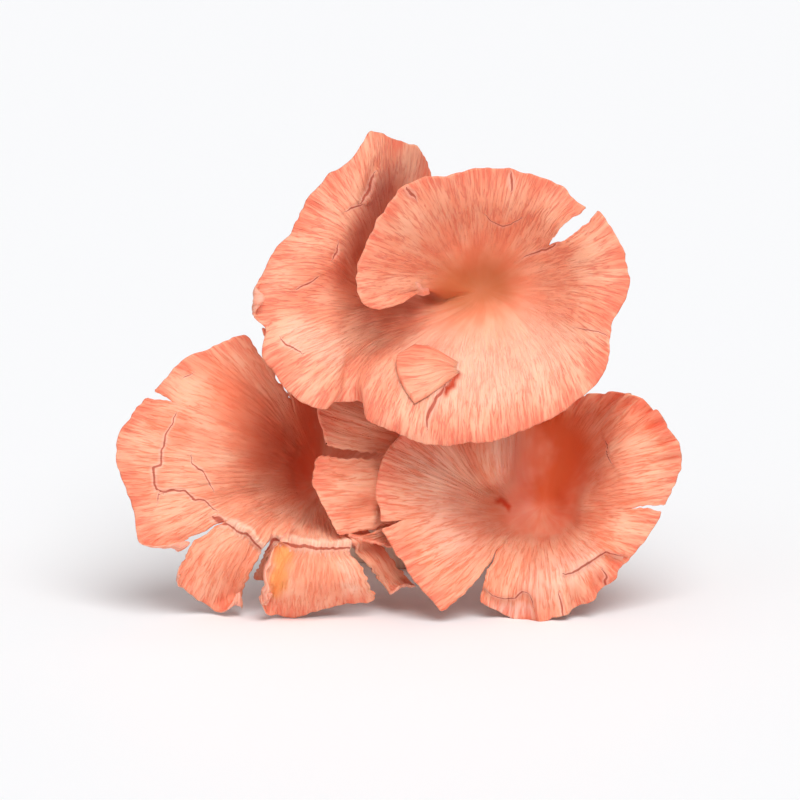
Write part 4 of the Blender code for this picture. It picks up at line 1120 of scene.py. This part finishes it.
def cap_skin(name, streaks, start, lines, painted_shade, stain_and_shade, bare_and_lit):
    """Streaked skin above, gills below. The last four values are colours."""
    nodes = Nodes(name)
    flow = nodes.attribute("flow")
    rim = nodes.attribute("rim")
    deep = nodes.attribute("deep")
    face = nodes.attribute("face")
    fine = nodes.noise(flow, 2.6, 0.18, detail=2.0, roughness=0.6)
    fibre = nodes.noise(flow, 1.15, 0.1, detail=3.0, roughness=0.68)
    broad = nodes.noise(flow, 0.16, 0.07, 3.0, detail=2.0)
    # Streaks start past the throat and are strongest near the rim.
    past_throat = nodes.range(deep, start, start + 16.0)
    strength = nodes.times(past_throat, streaks, nodes.range(rim, 26.0, 4.0, 0.55, 1.0))
    # Streaks are fainter in the paler pools.
    strength = nodes.times(strength, nodes.range(nodes.attribute("bare_and_lit"), 0.0, 1.0, 1.0, 0.4))
    colour = nodes.mix(nodes.range(broad, 0.35, 0.62), PALE, PEACH)
    # Paler flesh where the skin is torn, and painted light on parts of the right cap.
    colour = nodes.mix(nodes.attribute("bare_and_lit"), colour, bare_and_lit)
    tone = nodes.maths("ADD", nodes.times(fibre, 0.75), nodes.times(broad, 0.25))
    colour = nodes.mix(nodes.times(nodes.range(tone, 0.46, 0.64), strength, 0.75), colour, CORAL)
    wander = nodes.noise(flow, 1.1, 0.1, 7.0, detail=2.0)
    vein = nodes.maths("ABSOLUTE", nodes.maths("SUBTRACT", wander, 0.5))
    thin = nodes.maths("MAXIMUM", nodes.range(vein, 0.04, 0.008), nodes.range(fine, 0.57, 0.64))
    thin = nodes.times(thin, nodes.range(tone, 0.38, 0.56, 0.15, 1.0))
    colour = nodes.mix(nodes.times(thin, strength, 0.85), colour, lines)
    edge = nodes.times(nodes.range(rim, 6.0, 0.0), nodes.range(tone, 0.4, 0.6, 0.15, 0.8))
    colour = nodes.mix(edge, colour, MARGIN)
    # Painted shade in the throats, the valley and the deep funnels.
    colour = nodes.mix(nodes.attribute("painted_shade"), colour, painted_shade)
    # Stains, and painted shadow in the top cap's valley and hole.
    colour = nodes.mix(nodes.attribute("stain_and_shade"), colour, stain_and_shade)
    # A crack has painted shade in its gap and pale torn lips, and stops where its line ends.
    signed = nodes.maths("ABSOLUTE", nodes.attribute("crack"))
    past = nodes.times(nodes.maths("SUBTRACT", nodes.attribute("far"), 0.8), 5.0)
    line = nodes.maths("MAXIMUM", signed, past)
    colour = nodes.mix(nodes.range(line, 3.0, 0.9, 0.0, 0.5), colour, TORN)
    colour = nodes.mix(nodes.range(line, 0.9, 0.35, 0.0, 0.85), colour, CRACK_SHADE)
    # The value face is 0 on the upper side, 1 among the gills and 2 down the stem.
    below = nodes.mix(nodes.range(fine, 0.4, 0.65, 0.0, 0.4), GILL, CORAL)
    stem = nodes.mix(nodes.range(fibre, 0.42, 0.66, 0.0, 0.6), STEM, GILL)
    below = nodes.mix(nodes.range(face, 1.0, 2.0), below, stem)
    colour = nodes.mix(nodes.range(face, 0.2, 0.8), colour, below)
    bump = nodes.new("Bump")
    bump.inputs["Strength"].default_value = 0.85
    bump.inputs["Distance"].default_value = 0.0005
    ridges = nodes.maths("ADD", nodes.times(thin, -0.25), nodes.times(fibre, -1.0))
    nodes.link(nodes.times(ridges, past_throat), bump.inputs["Height"])
    for name, value in (
        ("Base Color", colour),
        ("Normal", bump.outputs[0]),
        ("Roughness", 0.62),
        ("Specular IOR Level", 0.3),
        ("Subsurface Weight", 0.25),
        ("Subsurface Radius", (1.0, 0.35, 0.2)),
        ("Subsurface Scale", 0.002),
    ):
        nodes.link(value, nodes.shader.inputs[name])
    return nodes.material


def plain(name, colour, roughness):
    nodes = Nodes(name)
    nodes.shader.inputs["Base Color"].default_value = (*colour, 1)
    nodes.shader.inputs["Roughness"].default_value = roughness
    return nodes.material


def sky_lamp(name, from_right, height, spread, strength):
    """A wide soft lamp far off in front, by how far round to the right and how high it is."""
    data = bpy.data.lights.new(name, "SUN")
    data.angle = math.radians(spread)
    data.energy = strength
    light = bpy.data.objects.new(name, data)
    light.rotation_euler = (math.radians(90 - height), 0, math.radians(from_right))
    bpy.context.scene.collection.objects.link(light)


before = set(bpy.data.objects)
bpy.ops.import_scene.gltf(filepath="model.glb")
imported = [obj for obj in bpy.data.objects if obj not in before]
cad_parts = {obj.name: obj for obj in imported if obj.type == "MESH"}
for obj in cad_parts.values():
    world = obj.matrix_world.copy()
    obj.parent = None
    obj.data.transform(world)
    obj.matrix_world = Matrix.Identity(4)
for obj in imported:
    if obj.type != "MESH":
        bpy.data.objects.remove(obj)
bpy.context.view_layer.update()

for name, cap, node, *skin in (
    ("top_cap", TOP, "mushroom_top", 0.8, 7.0, PINK_LINE, TAN_SHADE, VALLEY_SHADE, CREAM),
    ("left_cap", LEFT, "mushroom_left", 0.8, 2.0, ORANGE_LINE, RED_SHADE, YELLOW_STAIN, CREAM),
    ("right_cap", RIGHT, "mushroom_right", 0.95, 13.0, ORANGE_LINE, ORANGE_SHADE, RED_STAIN, BARE_AND_LIT),
):
    piece = mushroom(placed(cap)).object(name, cap_skin(name + " skin", *skin))
    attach(piece, "root")
    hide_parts(node)

piece = foot().object("foot", cap_skin("foot skin", 0.3, 0.0, PINK_LINE, TAN_SHADE, RED_STAIN, BARE_AND_LIT))
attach(piece, "root")
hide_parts("stem_base")

floor_mesh = bpy.data.meshes.new("floor")
floor_mesh.from_pydata([(-4, -4, 0), (4, -4, 0), (4, 4, 0), (-4, 4, 0)], [], [(0, 1, 2, 3)])
floor_mesh.materials.append(plain("floor white", (0.95, 0.955, 0.97), 0.6))
floor = bpy.data.objects.new("floor", floor_mesh)
bpy.context.scene.collection.objects.link(floor)

sky_lamp("key", 12, 48, 40, 2.6)
sky_lamp("overhead", 0, 84, 100, 0.75)
sky_lamp("front", -35, 14, 70, 0.4)

world = bpy.data.worlds.new("studio")
world.use_nodes = True
world.node_tree.nodes["Background"].inputs["Color"].default_value = (1, 1, 1, 1)
world.node_tree.nodes["Background"].inputs["Strength"].default_value = 0.2
bpy.context.scene.world = world
bpy.context.scene.view_settings.view_transform = "Standard"

CAMERA_DISTANCE = 4.0
VIEW_WIDTH = 0.1865
camera_data = bpy.data.cameras.new("camera")
camera_data.lens = 36 * CAMERA_DISTANCE / VIEW_WIDTH
camera_data.clip_end = 20
camera = bpy.data.objects.new("camera", camera_data)
target = Vector((0.0003, -0.037, 0.05338))
camera.location = target + CAMERA_DISTANCE * Vector((0, -math.cos(VIEW_TILT), math.sin(VIEW_TILT)))
camera.rotation_euler = (math.pi / 2 - VIEW_TILT, 0, 0)
bpy.context.scene.collection.objects.link(camera)
bpy.context.scene.camera = camera
